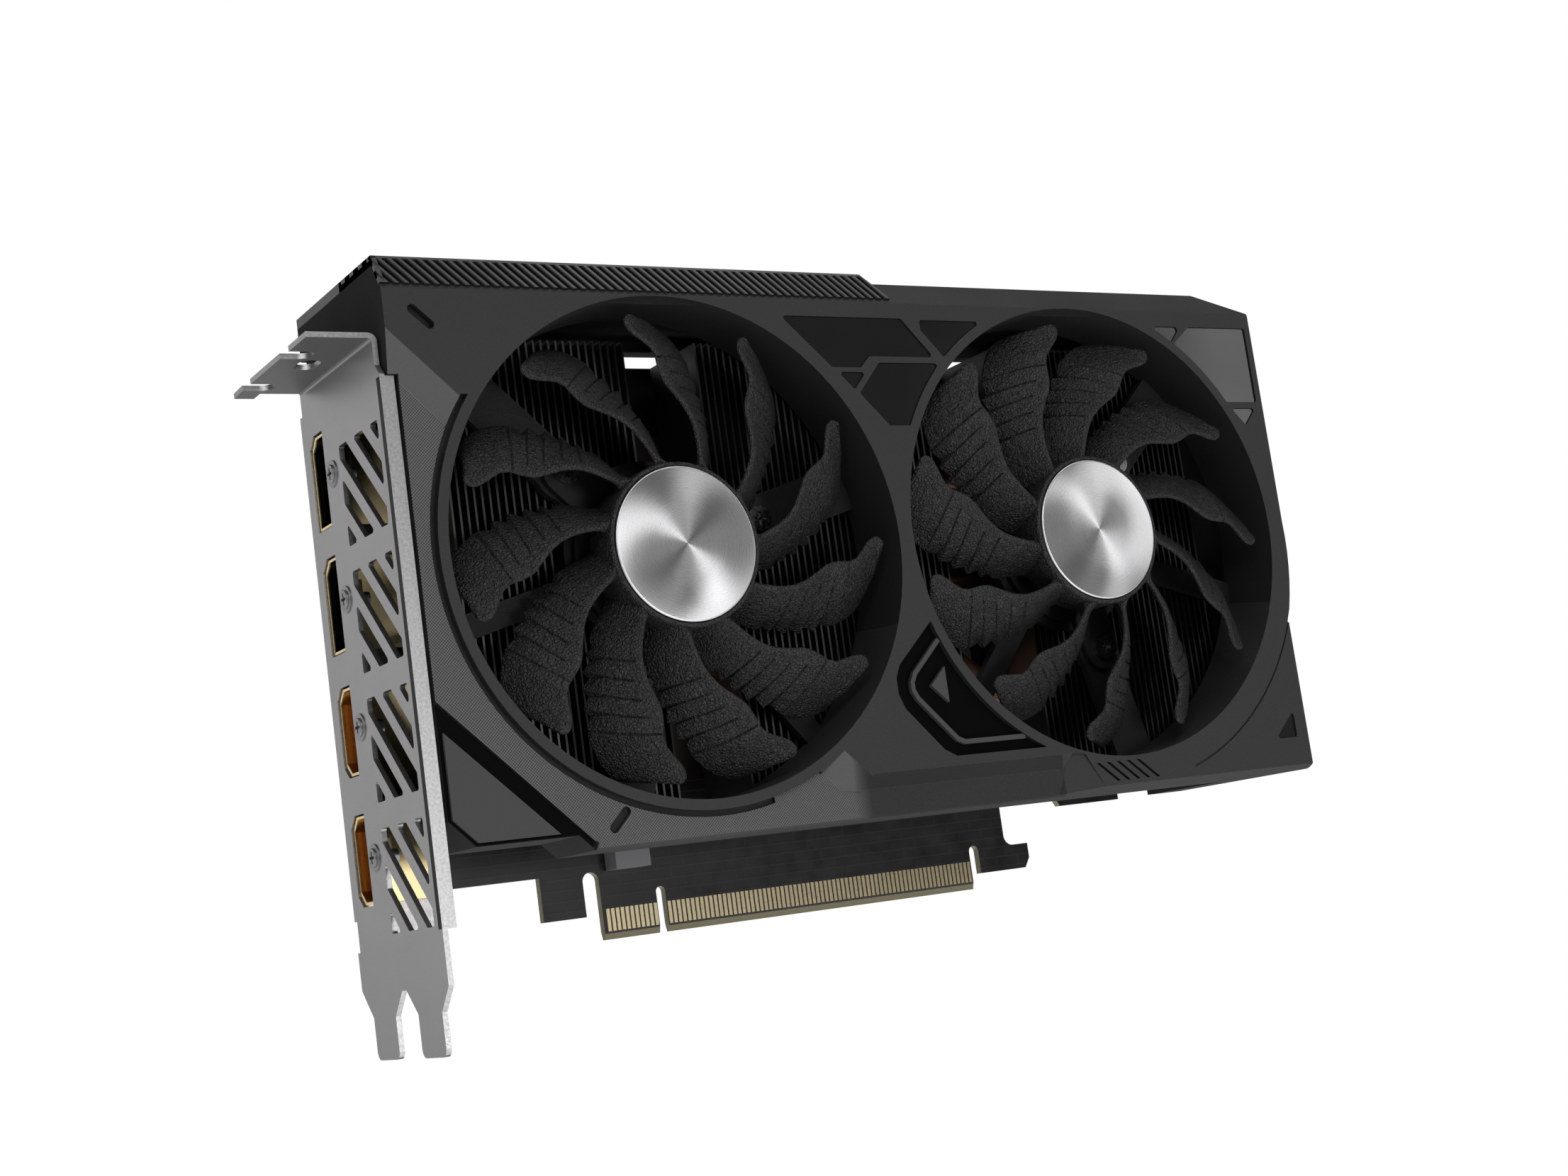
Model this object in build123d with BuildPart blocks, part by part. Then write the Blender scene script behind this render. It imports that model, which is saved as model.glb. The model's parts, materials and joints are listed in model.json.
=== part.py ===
"""Dual-slot graphics card with two counter-turning fans, as an assembly of separate pieces.

Frame: +X runs along the card away from its bracket, +Z runs up from the edge connector to the top of
the card, and the fans face -Y. The origin is the middle of the key notch of the edge connector, on the
bottom edge of the board and at half its thickness. Everything is in millimetres.
"""
from build123d import *
import os
from math import cos, sin, radians

os.makedirs("parts", exist_ok=True)

# ---------------------------------------------------------------- driving dimensions
# Depths (Y), from the fans at the front to the backplate at the rear
SHROUD_FRONT = -39.3
SHROUD_REAR = 1.1
BOARD_THICK = 1.6
BOARD_FRONT, BOARD_BACK = -BOARD_THICK / 2, BOARD_THICK / 2
COLD_PLATE_REAR = -3.0
COLD_PLATE_FRONT = -6.0
FIN_REAR, FIN_FRONT = -6.2, -23.8
SPIDER_REAR, SPIDER_FRONT = -24.4, -26.2
FAN_BASE_FRONT = -27.6
BACKPLATE_INNER, BACKPLATE_OUTER = 1.9, 2.8

# Shroud outline (X, Z)
SHROUD_LEFT, SHROUD_RIGHT = -58.5, 136.9
SHROUD_TOP = 116.7
FACE_TOP = 112.0
RIDGE_Y = -36.2
SHROUD_BOTTOM = 15.0
SHROUD_WALL = 2.0
FACE_INNER = SHROUD_FRONT + SHROUD_WALL
RIGHT_FOOT = 134.0

# Fans
FAN_X = (-6.2, 87.6)
FAN_Z = 66.7
OPENING_R = 45.3
SKIRT_WALL = 1.2
RING_BAND_R = 47.2
BLADE_COUNT = 11
BLADE_THICK = 1.4
LEAD_EDGE_Y, TRAIL_EDGE_Y = -37.8, -29.8
HUB_R = 15.0
CAP_R = 14.1
SHAFT_R = 1.5
FAN_SCREW_R = 23.0
FAN_TIP_ANGLE = (1.0, 26.2)
FAN_SENSE = (1, -1)
FAN_SCREW_ANGLES = (16.0, 136.0, 256.0)
SPIDER_RIB_ANGLES = (196.0, 310.0)

# Bracket (standard two-slot plate)
BRACKET_OUTER = -59.95
BRACKET_SHEET = 0.95
BRACKET_INNER = BRACKET_OUTER + BRACKET_SHEET
BRACKET_FRONT, BRACKET_REAR = -38.0, 0.74
BRACKET_TOP, BRACKET_FOOT = 105.0, -15.0
TONGUE_CENTRES = (-8.65, -28.97)
TONGUE_WIDTH = 10.19
TAB_END = -71.3
PORT_REAR, PORT_FRONT = -2.4, -9.1
DISPLAYPORT_Z = (86.5, 64.1)
DISPLAYPORT_SPAN = 17.3
HDMI_Z = (41.65, 19.15)
HDMI_SPAN = 15.9
PORT_DEPTH = 13.0
PORT_SCREW_Y = -12.2
SCREW_FLANGE, SCREW_HEAD = 0.25, 0.6

# Board
BOARD_LEFT, BOARD_RIGHT = -58.2, 113.4
BOARD_TOP = 109.6
FINGER_LEFT, FINGER_RIGHT = -12.6, 72.2
KEY_HALF = 0.95
CONTACT_PITCH, CONTACT_WIDTH = 1.0, 0.7
CONTACT_LOW, CONTACT_HIGH = 1.5, 5.65
CONTACT_THICK = 0.1

# Processor and the cooler's mounting square
CHIP_X, CHIP_Z = 34.0, 61.0
COOLER_HALF = 27.0
COOLER_SCREWS = [(CHIP_X + sx * COOLER_HALF, CHIP_Z + sz * COOLER_HALF) for sx in (-1, 1) for sz in (-1, 1)]

# Heatsink: three fin blocks joined by three heat pipes
FIN_BLOCKS = {"left": (-43.6, -3.6), "middle": (9.4, 62.4), "right": (79.2, 127.4)}
FIN_LOW, FIN_HIGH = 19.0, 108.0
FIN_PITCH, FIN_SHEET = 1.5, 0.4
PIPE_R = 3.0
PIPE_Y = -9.2
PIPE_HEIGHTS = ({"left": 84.0, "middle": 73.0, "right": 84.0},
                {"left": 61.0, "middle": 61.0, "right": 61.0},
                {"left": 38.0, "middle": 49.0, "right": 39.0})

# Posts that carry the shroud: (X, Z, and the Y where the post ends)
POSTS = ((-50.5, 103.5, BOARD_FRONT), (-39.8, 23.5, BOARD_FRONT),
         (130.6, 104.0, BACKPLATE_INNER), (130.4, 22.0, BACKPLATE_INNER))
POST_R = 2.7
POWER_LEFT, POWER_RIGHT = 94.0, 112.4


# ---------------------------------------------------------------- helpers
def facing_front(y):
    """Sketch plane at depth y: local x is X, local y is Z, and extruding goes towards the fans."""
    return Plane.XZ.offset(-y)


def facing_right(x):
    """Sketch plane at length x: local x is Y, local y is Z, and extruding goes away from the bracket."""
    return Plane.YZ.offset(x)


def write(builder, label):
    builder.part.label = label
    export_step(builder.part, f"parts/{label}.step")
    print(label, len(builder.part.solids()))


def slabs(label, centres, size_x, size_z, y_rear, y_front, corner=0.0):
    """Equal rectangular blocks standing on a face, one for each (X, Z) centre."""
    with BuildPart() as blocks:
        with BuildSketch(facing_front(y_rear)):
            with Locations(*centres):
                Rectangle(size_x, size_z)
        extrude(amount=y_rear - y_front)
        if corner:
            fillet(blocks.edges().filter_by(Axis.Y), corner)
    write(blocks, label)


def outline(*points, mode=Mode.ADD):
    """A closed face through the given points, inside the current sketch."""
    Polygon(*points, align=None, mode=mode)


# ---------------------------------------------------------------- board
def board_outline():
    """Board seen from the front, with the keyed edge connector and its retention hook."""
    notch_top, key_top, tail_top = 11.05, 7.65, 7.6
    with BuildLine() as edge:
        l1 = Polyline((BOARD_LEFT, BOARD_TOP), (BOARD_LEFT, 12.7), (-24.6, 12.7), (-24.6, 4.6),
                      (-15.9, 4.6), (-15.9, notch_top))
        ThreePointArc(l1 @ 1, (-14.25, notch_top + 1.65), (FINGER_LEFT, notch_top))
        l2 = Polyline((FINGER_LEFT, notch_top), (FINGER_LEFT, 0), (-KEY_HALF, 0), (-KEY_HALF, key_top))
        ThreePointArc(l2 @ 1, (0, key_top + KEY_HALF), (KEY_HALF, key_top))
        l3 = Polyline((KEY_HALF, key_top), (KEY_HALF, 0), (FINGER_RIGHT, 0), (FINGER_RIGHT, tail_top))
        ThreePointArc(l3 @ 1, (73.35, tail_top + 1.15), (74.5, tail_top))
        l4 = Polyline((74.5, tail_top), (74.5, 3.0), (86.0, 3.0), (87.3, 5.0), (87.3, 8.0), (83.5, 8.0))
        RadiusArc(l4 @ 1, (81.5, 10.0), 2.0)
        Polyline((81.5, 10.0), (81.5, 18.0), (95.5, 18.0), (97.4, 14.8), (BOARD_RIGHT, 14.8),
                 (BOARD_RIGHT, BOARD_TOP), (BOARD_LEFT, BOARD_TOP))
    make_face(edge.line)


board_screw_spots = [(-30.0, 105.5), (70.5, 105.5), (106.5, 24.5), (-48.5, 57.0)]

with BuildPart() as pcb:
    with BuildSketch(facing_front(BOARD_BACK)):
        board_outline()
        with Locations(*COOLER_SCREWS):
            Circle(1.7, mode=Mode.SUBTRACT)
        with Locations(*[(x, z) for x, z, end in POSTS if end == BOARD_FRONT], *board_screw_spots):
            Circle(1.1, mode=Mode.SUBTRACT)
    extrude(amount=BOARD_THICK)
    bevel_high, bevel_deep = 1.5, 0.45
    with BuildSketch(facing_right(FINGER_LEFT)):
        for side in (-1, 1):
            outline((side * BOARD_BACK, 0), (side * (BOARD_BACK - bevel_deep), 0),
                    (side * BOARD_BACK, bevel_high))
    extrude(amount=FINGER_RIGHT - FINGER_LEFT, mode=Mode.SUBTRACT)
write(pcb, "pcb")

contact_x = [FINGER_LEFT + 1.1 + i * CONTACT_PITCH for i in range(11)]
contact_x += [KEY_HALF + 0.55 + i * CONTACT_PITCH for i in range(71)]
contact_mid, contact_long = (CONTACT_LOW + CONTACT_HIGH) / 2, CONTACT_HIGH - CONTACT_LOW
with BuildPart() as edge_contacts:
    for near_face in (BOARD_FRONT, BOARD_BACK + CONTACT_THICK):
        with BuildSketch(facing_front(near_face)):
            with Locations(*[(x, contact_mid) for x in contact_x]):
                Rectangle(CONTACT_WIDTH, contact_long)
        extrude(amount=CONTACT_THICK)
write(edge_contacts, "edge_contacts")

slabs("gpu_substrate", [(CHIP_X, CHIP_Z)], 36, 36, BOARD_FRONT, -2.1)
slabs("gpu_die", [(CHIP_X, CHIP_Z)], 19, 15, -2.1, COLD_PLATE_REAR)
memory_spots = [(CHIP_X + sx * 27.0, CHIP_Z + dz) for sx in (-1, 1) for dz in (-8.0, 8.0)]
slabs("memory_chips", memory_spots, 12, 14, BOARD_FRONT, -2.0)
slabs("thermal_pads", memory_spots, 11, 13, -2.0, COLD_PLATE_REAR)
coil_rows = [38.0 + 9.0 * i for i in range(6)]
slabs("inductors", [(73.5, z) for z in coil_rows], 7.2, 7.2, BOARD_FRONT, -4.8, corner=0.6)
slabs("mosfets", [(82.0, z + dz) for z in coil_rows for dz in (-2.25, 2.25)], 5, 3.9, BOARD_FRONT, -1.8)
slabs("control_chips", [(92.0, 92.0), (-20.0, 98.0), (60.0, 24.0), (-22.0, 24.5)], 6, 6, BOARD_FRONT, -1.7)
ceramic_spots = [(92.0 + 3.0 * i, 40.0 + 4.0 * j) for i in range(4) for j in range(5)]
ceramic_spots += [(-30.0 + 3.0 * i, 32.0 + 4.0 * j) for i in range(3) for j in range(6)]
slabs("ceramic_capacitors", ceramic_spots, 1.3, 2.2, BOARD_FRONT, -1.9)
rear_spots = [(CHIP_X + 3.2 * i, CHIP_Z + 3.4 * j) for i in range(-3, 4) for j in range(-2, 3) if i or j]
with BuildPart() as rear_capacitors:
    with BuildSketch(facing_front(1.5)):
        with Locations(*rear_spots):
            Rectangle(1.2, 2.0)
    extrude(amount=1.5 - BOARD_BACK)
write(rear_capacitors, "rear_capacitors")

with BuildPart() as polymer_capacitors:
    with BuildSketch(facing_front(BOARD_FRONT)):
        with Locations(*[(x, z) for x in (88.0,) for z in (30.5, 37.5)], *[(-20.0, 84.0), (-20.0, 76.0)],
                       (-10.5, 84.0), (-10.5, 76.0), (-20.0, 68.0), (-10.5, 68.0)):
            Circle(3.1)
    extrude(amount=4.6)
    fillet(polymer_capacitors.faces().group_by(Axis.Y)[0].edges(), 0.5)
write(polymer_capacitors, "polymer_capacitors")

# ---------------------------------------------------------------- power inlet and fan header
power_mid = (POWER_LEFT + POWER_RIGHT) / 2
power_low, power_high = 98.0, 116.4
pin_end = 110.0
power_rear, power_front = BOARD_FRONT, -14.4
cell_x = [power_mid + (i - 1.5) * 4.2 for i in range(4)]
cell_y = [power_rear - 3.9, power_front + 3.1]
with BuildPart() as power_socket:
    with BuildSketch(Plane.XY.offset(power_low)):
        with Locations((power_mid, (power_rear + power_front) / 2)):
            Rectangle(POWER_RIGHT - POWER_LEFT, power_rear - power_front)
    extrude(amount=power_high - power_low)
    with BuildSketch(Plane.XY.offset(power_low + 4)):
        with Locations(*[(x, y) for x in cell_x for y in cell_y]):
            RectangleRounded(3.5, 3.5, 0.5)
    extrude(amount=power_high - power_low, mode=Mode.SUBTRACT)
write(power_socket, "power_socket")

with BuildPart() as power_pins:
    with BuildSketch(Plane.XY.offset(power_low + 4)):
        with Locations(*[(x, y) for x in cell_x for y in cell_y]):
            Circle(0.75)
    extrude(amount=pin_end - power_low - 4)
write(power_pins, "power_pins")

with BuildPart() as fan_header:
    with BuildSketch(facing_front(BOARD_FRONT)):
        with Locations((-7.2, 14.9)):
            Rectangle(7.2, 4.6)
    extrude(amount=4.5)
    with BuildSketch(Plane.XY.offset(14.6)):
        with Locations((-7.2, -3.4)):
            Rectangle(5.8, 2.6)
    extrude(amount=4.0, mode=Mode.SUBTRACT)
write(fan_header, "fan_header")


# ---------------------------------------------------------------- display sockets
def port_face(z_mid, span, chamfer_sides, grow):
    """Opening of one socket in the (Y, Z) plane: a rectangle with cut corners, grown all round."""
    y0, y1 = PORT_FRONT - grow, PORT_REAR + grow
    z0, z1 = z_mid - span / 2 - grow, z_mid + span / 2 + grow
    cut = 2.0
    low_cut = cut if "low" in chamfer_sides else 0.01
    outline((y0, z0), (y0, z1), (y1 - cut, z1), (y1, z1 - cut), (y1, z0 + low_cut), (y1 - low_cut, z0))


def shells(label, heights, span, chamfer_sides):
    """Folded metal shells with their screw ears, behind the bracket."""
    with BuildPart() as shell:
        for z_mid in heights:
            with BuildSketch(facing_right(BRACKET_INNER - 0.6)):
                port_face(z_mid, span, chamfer_sides, -0.3)
            extrude(amount=PORT_DEPTH)
            with BuildSketch(facing_right(BRACKET_INNER - 0.6)):
                port_face(z_mid, span, chamfer_sides, -0.75)
            extrude(amount=PORT_DEPTH - 0.5, mode=Mode.SUBTRACT)
            with BuildSketch(facing_right(BRACKET_INNER)):
                with Locations(((PORT_FRONT + 0.3 + PORT_SCREW_Y - 2.6) / 2, z_mid)):
                    Rectangle(abs(PORT_FRONT + 0.3 - PORT_SCREW_Y + 2.6), 6.0)
                with Locations((PORT_SCREW_Y, z_mid)):
                    Circle(1.3, mode=Mode.SUBTRACT)
            extrude(amount=1.2)
    write(shell, label)


def inserts(label, heights, tongue_span, tongue_y):
    """Plastic bodies: a block at the back of each shell, a contact tongue, and a foot on the board."""
    with BuildPart() as insert:
        for z_mid in heights:
            back = BRACKET_INNER - 0.6 + PORT_DEPTH - 0.5
            with BuildSketch(facing_right(back - 3.0)):
                with Locations(((PORT_FRONT + PORT_REAR) / 2, z_mid)):
                    Rectangle(PORT_REAR - PORT_FRONT - 1.5, tongue_span - 2.0)
            extrude(amount=3.0)
            with BuildSketch(facing_right(BRACKET_INNER + 1.0)):
                with Locations((tongue_y, z_mid)):
                    Rectangle(1.2, tongue_span)
            extrude(amount=back - BRACKET_INNER - 1.0)
    write(insert, label)


shells("displayport_shells", DISPLAYPORT_Z, DISPLAYPORT_SPAN, ("high",))
shells("hdmi_shells", HDMI_Z, HDMI_SPAN, ("high", "low"))
inserts("displayport_tongues", DISPLAYPORT_Z, 12.6, -5.2)
inserts("hdmi_tongues", HDMI_Z, 11.6, -5.6)

foot_low, foot_high = BRACKET_INNER + 2.0, BRACKET_INNER + PORT_DEPTH - 3.0
with BuildPart() as port_feet:
    with BuildSketch(facing_front(BOARD_FRONT)):
        for z_mid in DISPLAYPORT_Z + HDMI_Z:
            with Locations(((foot_low + foot_high) / 2, z_mid)):
                Rectangle(foot_high - foot_low, 12.0)
    extrude(amount=BOARD_FRONT - PORT_REAR - 0.3 + 0.6)
write(port_feet, "port_feet")

# ---------------------------------------------------------------- bracket
VENT_FRONT, VENT_REAR = -34.9, -16.4
VENT_TALL = 17.8
VENT_BOTTOMS = (72.6, 50.35, 28.1, 5.9)
VENT_BAR = 2.33
VENT_BAR_STEPS = (5.55, 13.25, 22.45, 30.45)
VENT_BAR_REACH, VENT_CORNER = 120.0, 0.5
TAPER_TOP, TAPER_LOW = -3.7, -7.8
FOOT_TAB_END, FOOT_TAB_LOW, FOOT_TAB_HIGH = -45.0, 4.5, 12.8
TAB_FRONT, TAB_REAR, TAB_HOOK = -36.3, -2.1, 2.6
SCREW_NOTCHES = (-5.1, -25.5)
NOTCH_WIDE, NOTCH_DEEP = 4.4, 4.1


def bracket_outline():
    """Plate with two tongues at the foot and small steps along its rear edge."""
    half = TONGUE_WIDTH / 2
    rear, front = TONGUE_CENTRES
    taper = TAPER_TOP - TAPER_LOW
    outline((BRACKET_REAR, 99.8), (BRACKET_REAR, 9.0), (-0.4, 9.0), (-0.4, 3.6), (BRACKET_REAR, 3.6),
            (BRACKET_REAR, -3.0), (rear + half, TAPER_LOW), (rear + half, BRACKET_FOOT),
            (rear - half, BRACKET_FOOT), (rear - half, TAPER_LOW),
            (rear - half - taper, TAPER_TOP), (front + half + taper, TAPER_TOP),
            (front + half, TAPER_LOW), (front + half, BRACKET_FOOT), (front - half, BRACKET_FOOT),
            (front - half, TAPER_LOW), (BRACKET_FRONT, -3.7), (BRACKET_FRONT, 97.4), (-36.4, 99.4),
            (-36.4, BRACKET_TOP - 0.4), (-0.4, BRACKET_TOP - 0.4), (-0.4, 99.8))


with BuildPart() as bracket:
    with BuildSketch(facing_right(BRACKET_OUTER)):
        bracket_outline()
    extrude(amount=BRACKET_SHEET)
    tongue_tips = bracket.edges().filter_by(Axis.X).group_by(Axis.Z)[0]
    fillet(tongue_tips, 1.5)
    # Tab that the case screws hold, bent outwards at the top
    with BuildSketch(Plane.XY.offset(BRACKET_TOP - BRACKET_SHEET)):
        outline((BRACKET_INNER, TAB_FRONT), (BRACKET_INNER, -0.9), (TAB_END + 3.8, -0.9),
                (TAB_END + 3.8, TAB_HOOK), (TAB_END + 0.2, TAB_HOOK), (TAB_END, TAB_REAR),
                (TAB_END, TAB_FRONT))
        for y in SCREW_NOTCHES:
            with Locations((TAB_END + NOTCH_DEEP / 2 - NOTCH_WIDE / 4, y)):
                Rectangle(NOTCH_DEEP, NOTCH_WIDE, mode=Mode.SUBTRACT)
            with Locations((TAB_END + NOTCH_DEEP - NOTCH_WIDE / 4, y)):
                Circle(NOTCH_WIDE / 2, mode=Mode.SUBTRACT)
        with Locations((-65.2, -19.6)):
            SlotOverall(6.0, 4.0, rotation=90, mode=Mode.SUBTRACT)
    extrude(amount=BRACKET_SHEET)
    under_tab = BRACKET_TOP - BRACKET_SHEET
    bend_inside = bracket.edges().filter_by(Axis.Y).filter_by(
        lambda e: abs(e.center().X - BRACKET_OUTER) < 0.01 and abs(e.center().Z - under_tab) < 0.01)
    fillet(bend_inside, 0.6)
    bend_outside = bracket.edges().filter_by(Axis.Y).filter_by(
        lambda e: abs(e.center().X - BRACKET_INNER) < 0.01 and abs(e.center().Z - BRACKET_TOP) < 0.01)
    fillet(bend_outside, 1.5)
    # Stiffening flange along the front edge
    with BuildSketch(facing_front(BRACKET_FRONT + BRACKET_SHEET)):
        with Locations(((BRACKET_INNER - 57.4) / 2, 51.2)):
            Rectangle(-57.4 - BRACKET_INNER, 91.8)
    extrude(amount=BRACKET_SHEET)
    # Foot tab that lies on the board behind the lowest vents
    with BuildSketch(facing_front(BOARD_FRONT)):
        outline((BRACKET_INNER - 0.1, FOOT_TAB_LOW), (BRACKET_INNER - 0.1, FOOT_TAB_HIGH),
                (FOOT_TAB_END, FOOT_TAB_HIGH), (FOOT_TAB_END, FOOT_TAB_LOW))
    extrude(amount=BRACKET_SHEET)
    # Socket openings, screw holes and slanted vents
    with BuildSketch(facing_right(BRACKET_OUTER)):
        for z in DISPLAYPORT_Z:
            port_face(z, DISPLAYPORT_SPAN, ("high",), 0.0)
        for z in HDMI_Z:
            port_face(z, HDMI_SPAN, ("high", "low"), 0.0)
        with Locations(*[(PORT_SCREW_Y, z) for z in DISPLAYPORT_Z + HDMI_Z]):
            Circle(1.3)
    extrude(amount=BRACKET_SHEET, mode=Mode.SUBTRACT)
    for z in VENT_BOTTOMS:
        with BuildSketch(facing_right(BRACKET_OUTER)) as vents:
            outline((VENT_FRONT, z), (VENT_REAR, z), (VENT_REAR, z + VENT_TALL), (VENT_FRONT, z + VENT_TALL))
            with Locations(*[(VENT_FRONT + step, z + VENT_TALL) for step in VENT_BAR_STEPS]):
                Rectangle(VENT_BAR_REACH, VENT_BAR, rotation=45, mode=Mode.SUBTRACT)
            fillet(vents.vertices(), VENT_CORNER)
        extrude(amount=BRACKET_SHEET, mode=Mode.SUBTRACT)
write(bracket, "bracket")

with BuildPart() as bracket_screws:
    spots = [(PORT_SCREW_Y, z) for z in DISPLAYPORT_Z + HDMI_Z]
    with BuildSketch(facing_right(BRACKET_OUTER - SCREW_FLANGE)):
        with Locations(*spots):
            Circle(2.4)
    extrude(amount=SCREW_FLANGE)
    with BuildSketch(facing_right(BRACKET_OUTER - SCREW_HEAD)):
        with Locations(*spots):
            Circle(1.65)
    extrude(amount=SCREW_HEAD)
    fillet(bracket_screws.edges().group_by(Axis.X)[0], 0.2)
    with BuildSketch(facing_right(BRACKET_OUTER)):
        with Locations(*spots):
            Circle(1.25)
    extrude(amount=4.0)
    with BuildSketch(facing_right(BRACKET_OUTER - SCREW_HEAD)):
        with Locations(*spots):
            Rectangle(2.1, 0.5)
            Rectangle(0.5, 2.1)
    extrude(amount=0.6, mode=Mode.SUBTRACT)
write(bracket_screws, "bracket_screws")

# ---------------------------------------------------------------- heatsink
plate_half_x, plate_half_z = 33.5, 33.5
with BuildPart() as cold_plate:
    with BuildSketch(facing_front(COLD_PLATE_REAR)):
        with Locations((CHIP_X, CHIP_Z)):
            Rectangle(2 * plate_half_x, 2 * plate_half_z)
    extrude(amount=COLD_PLATE_REAR - COLD_PLATE_FRONT)
    fillet(cold_plate.edges().filter_by(Axis.Y), 2.0)
    with BuildSketch(facing_front(BOARD_FRONT - 0.1)):
        with Locations(*COOLER_SCREWS):
            Circle(2.6)
    extrude(amount=COLD_PLATE_REAR - COLD_PLATE_FRONT)
    with BuildSketch(facing_front(BOARD_FRONT - 0.1)):
        with Locations(*COOLER_SCREWS):
            Circle(1.3)
    extrude(amount=4.0, mode=Mode.SUBTRACT)
write(cold_plate, "cold_plate")


def pipe_route(heights):
    """Heat pipe seen from the front: straight through each block, with an S bend in each gap."""
    left, middle, right = heights["left"], heights["middle"], heights["right"]
    start, end = FIN_BLOCKS["left"][0] + 2.0, FIN_BLOCKS["right"][1] - 2.0
    points = [(start, left)]
    if left != middle:
        points += [(-1.6, left), (7.4, middle)]
    if middle != right:
        points += [(64.6, middle), (77.2, right)]
    points += [(end, right)]
    return points


with BuildPart() as heat_pipes:
    for heights in PIPE_HEIGHTS:
        corners = pipe_route(heights)
        with BuildLine(facing_front(PIPE_Y)) as route:
            if len(corners) == 2:
                Line(*corners)
            else:
                FilletPolyline(*corners, radius=5.0)
        with BuildSketch(facing_right(corners[0][0])):
            with Locations((PIPE_Y, corners[0][1])):
                Circle(PIPE_R)
        sweep(path=route.wire())
write(heat_pipes, "heat_pipes")

for side, (x0, x1) in FIN_BLOCKS.items():
    count = int((x1 - x0) / FIN_PITCH)
    rear = FIN_REAR if side != "middle" else FIN_REAR - 0.1
    with BuildPart() as fin_block:
        with BuildSketch(Plane.XY.offset(FIN_LOW)):
            with Locations(((x0 + x1) / 2, rear - FIN_SHEET / 2)):
                Rectangle(x1 - x0, FIN_SHEET)
            sheets = [x0 + FIN_SHEET / 2 + i * FIN_PITCH for i in range(count)]
            with Locations(*[(x, (rear + FIN_FRONT) / 2) for x in sheets]):
                Rectangle(FIN_SHEET, rear - FIN_FRONT)
        extrude(amount=FIN_HIGH - FIN_LOW)
        with BuildSketch(facing_right(x0 - 1)):
            with Locations(*[(PIPE_Y, heights[side]) for heights in PIPE_HEIGHTS]):
                Circle(PIPE_R + 0.05)
        extrude(amount=x1 - x0 + 2, mode=Mode.SUBTRACT)
        if side == "left":
            with BuildSketch(facing_front(0)):
                outline((x0 - 1, FIN_LOW - 1), (x0 + 13.8, FIN_LOW - 1), (x0 + 13.8, 27.6), (x0 - 1, 27.6))
            extrude(amount=40, mode=Mode.SUBTRACT)
        if side == "right":
            with BuildSketch(Plane.XY.offset(power_low - 1.0)):
                outline((POWER_LEFT - 1, 0), (POWER_RIGHT + 1, 0), (POWER_RIGHT + 1, power_front - 1),
                        (POWER_LEFT - 1, power_front - 1))
            extrude(amount=40, mode=Mode.SUBTRACT)
    write(fin_block, f"fin_block_{side}")

# ---------------------------------------------------------------- backplate and its fixings
plate_left, plate_right, plate_low, plate_high = -57.2, 133.4, 17.4, BOARD_TOP
with BuildPart() as backplate:
    with BuildSketch(facing_front(BACKPLATE_OUTER)):
        outline((plate_left, plate_low + 4), (plate_left + 4, plate_low), (-27, plate_low),
                (-24, plate_low + 3), (76, plate_low + 3), (79, plate_low), (plate_right, plate_low),
                (plate_right, plate_high - 6), (plate_right - 6, plate_high), (60, plate_high),
                (57, plate_high - 2.5), (6, plate_high - 2.5), (3, plate_high), (plate_left + 4, plate_high),
                (plate_left, plate_high - 4))
        with Locations((CHIP_X, CHIP_Z)):
            RectangleRounded(66, 66, 5, mode=Mode.SUBTRACT)
        with Locations(*[(117.2 + (z - 64) * 0.08, z) for z in (34, 44, 54, 64, 74, 84, 94)]):
            SlotOverall(22, 4.6, rotation=24, mode=Mode.SUBTRACT)
        with Locations(*[(-34.0 + 12 * i, 36.0 + 6 * i) for i in range(2)]):
            SlotOverall(16, 3.2, rotation=45, mode=Mode.SUBTRACT)
        with Locations(*[(x, z) for x, z, end in POSTS], *board_screw_spots):
            Circle(1.15, mode=Mode.SUBTRACT)
    extrude(amount=BACKPLATE_OUTER - BACKPLATE_INNER)
    with BuildSketch(facing_front(BACKPLATE_OUTER)):
        with Locations(*[(x, z) for x, z, end in POSTS], *board_screw_spots):
            Circle(2.1)
    extrude(amount=0.5, mode=Mode.SUBTRACT)
    with BuildSketch(facing_front(BACKPLATE_INNER)):
        with Locations(*board_screw_spots, *[(x, z) for x, z, end in POSTS if end == BOARD_FRONT]):
            Circle(2.6)
            Circle(1.15, mode=Mode.SUBTRACT)
    extrude(amount=BACKPLATE_INNER - BOARD_BACK)
write(backplate, "backplate")


def flat_screws(label, spots, reach):
    """Screws put in from the rear, with flat heads level with the backplate."""
    with BuildPart() as screws:
        with BuildSketch(facing_front(BACKPLATE_OUTER)):
            with Locations(*spots):
                Circle(2.0)
        extrude(amount=0.5)
        with BuildSketch(facing_front(BACKPLATE_OUTER - 0.5)):
            with Locations(*spots):
                Circle(1.0)
        extrude(amount=reach)
        with BuildSketch(facing_front(BACKPLATE_OUTER)):
            with Locations(*spots):
                Rectangle(2.2, 0.5)
                Rectangle(0.5, 2.2)
        extrude(amount=0.3, mode=Mode.SUBTRACT)
    write(screws, label)


flat_screws("backplate_screws", board_screw_spots, 2.2)
flat_screws("shroud_screws", [(x, z) for x, z, end in POSTS], 7.0)

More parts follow.
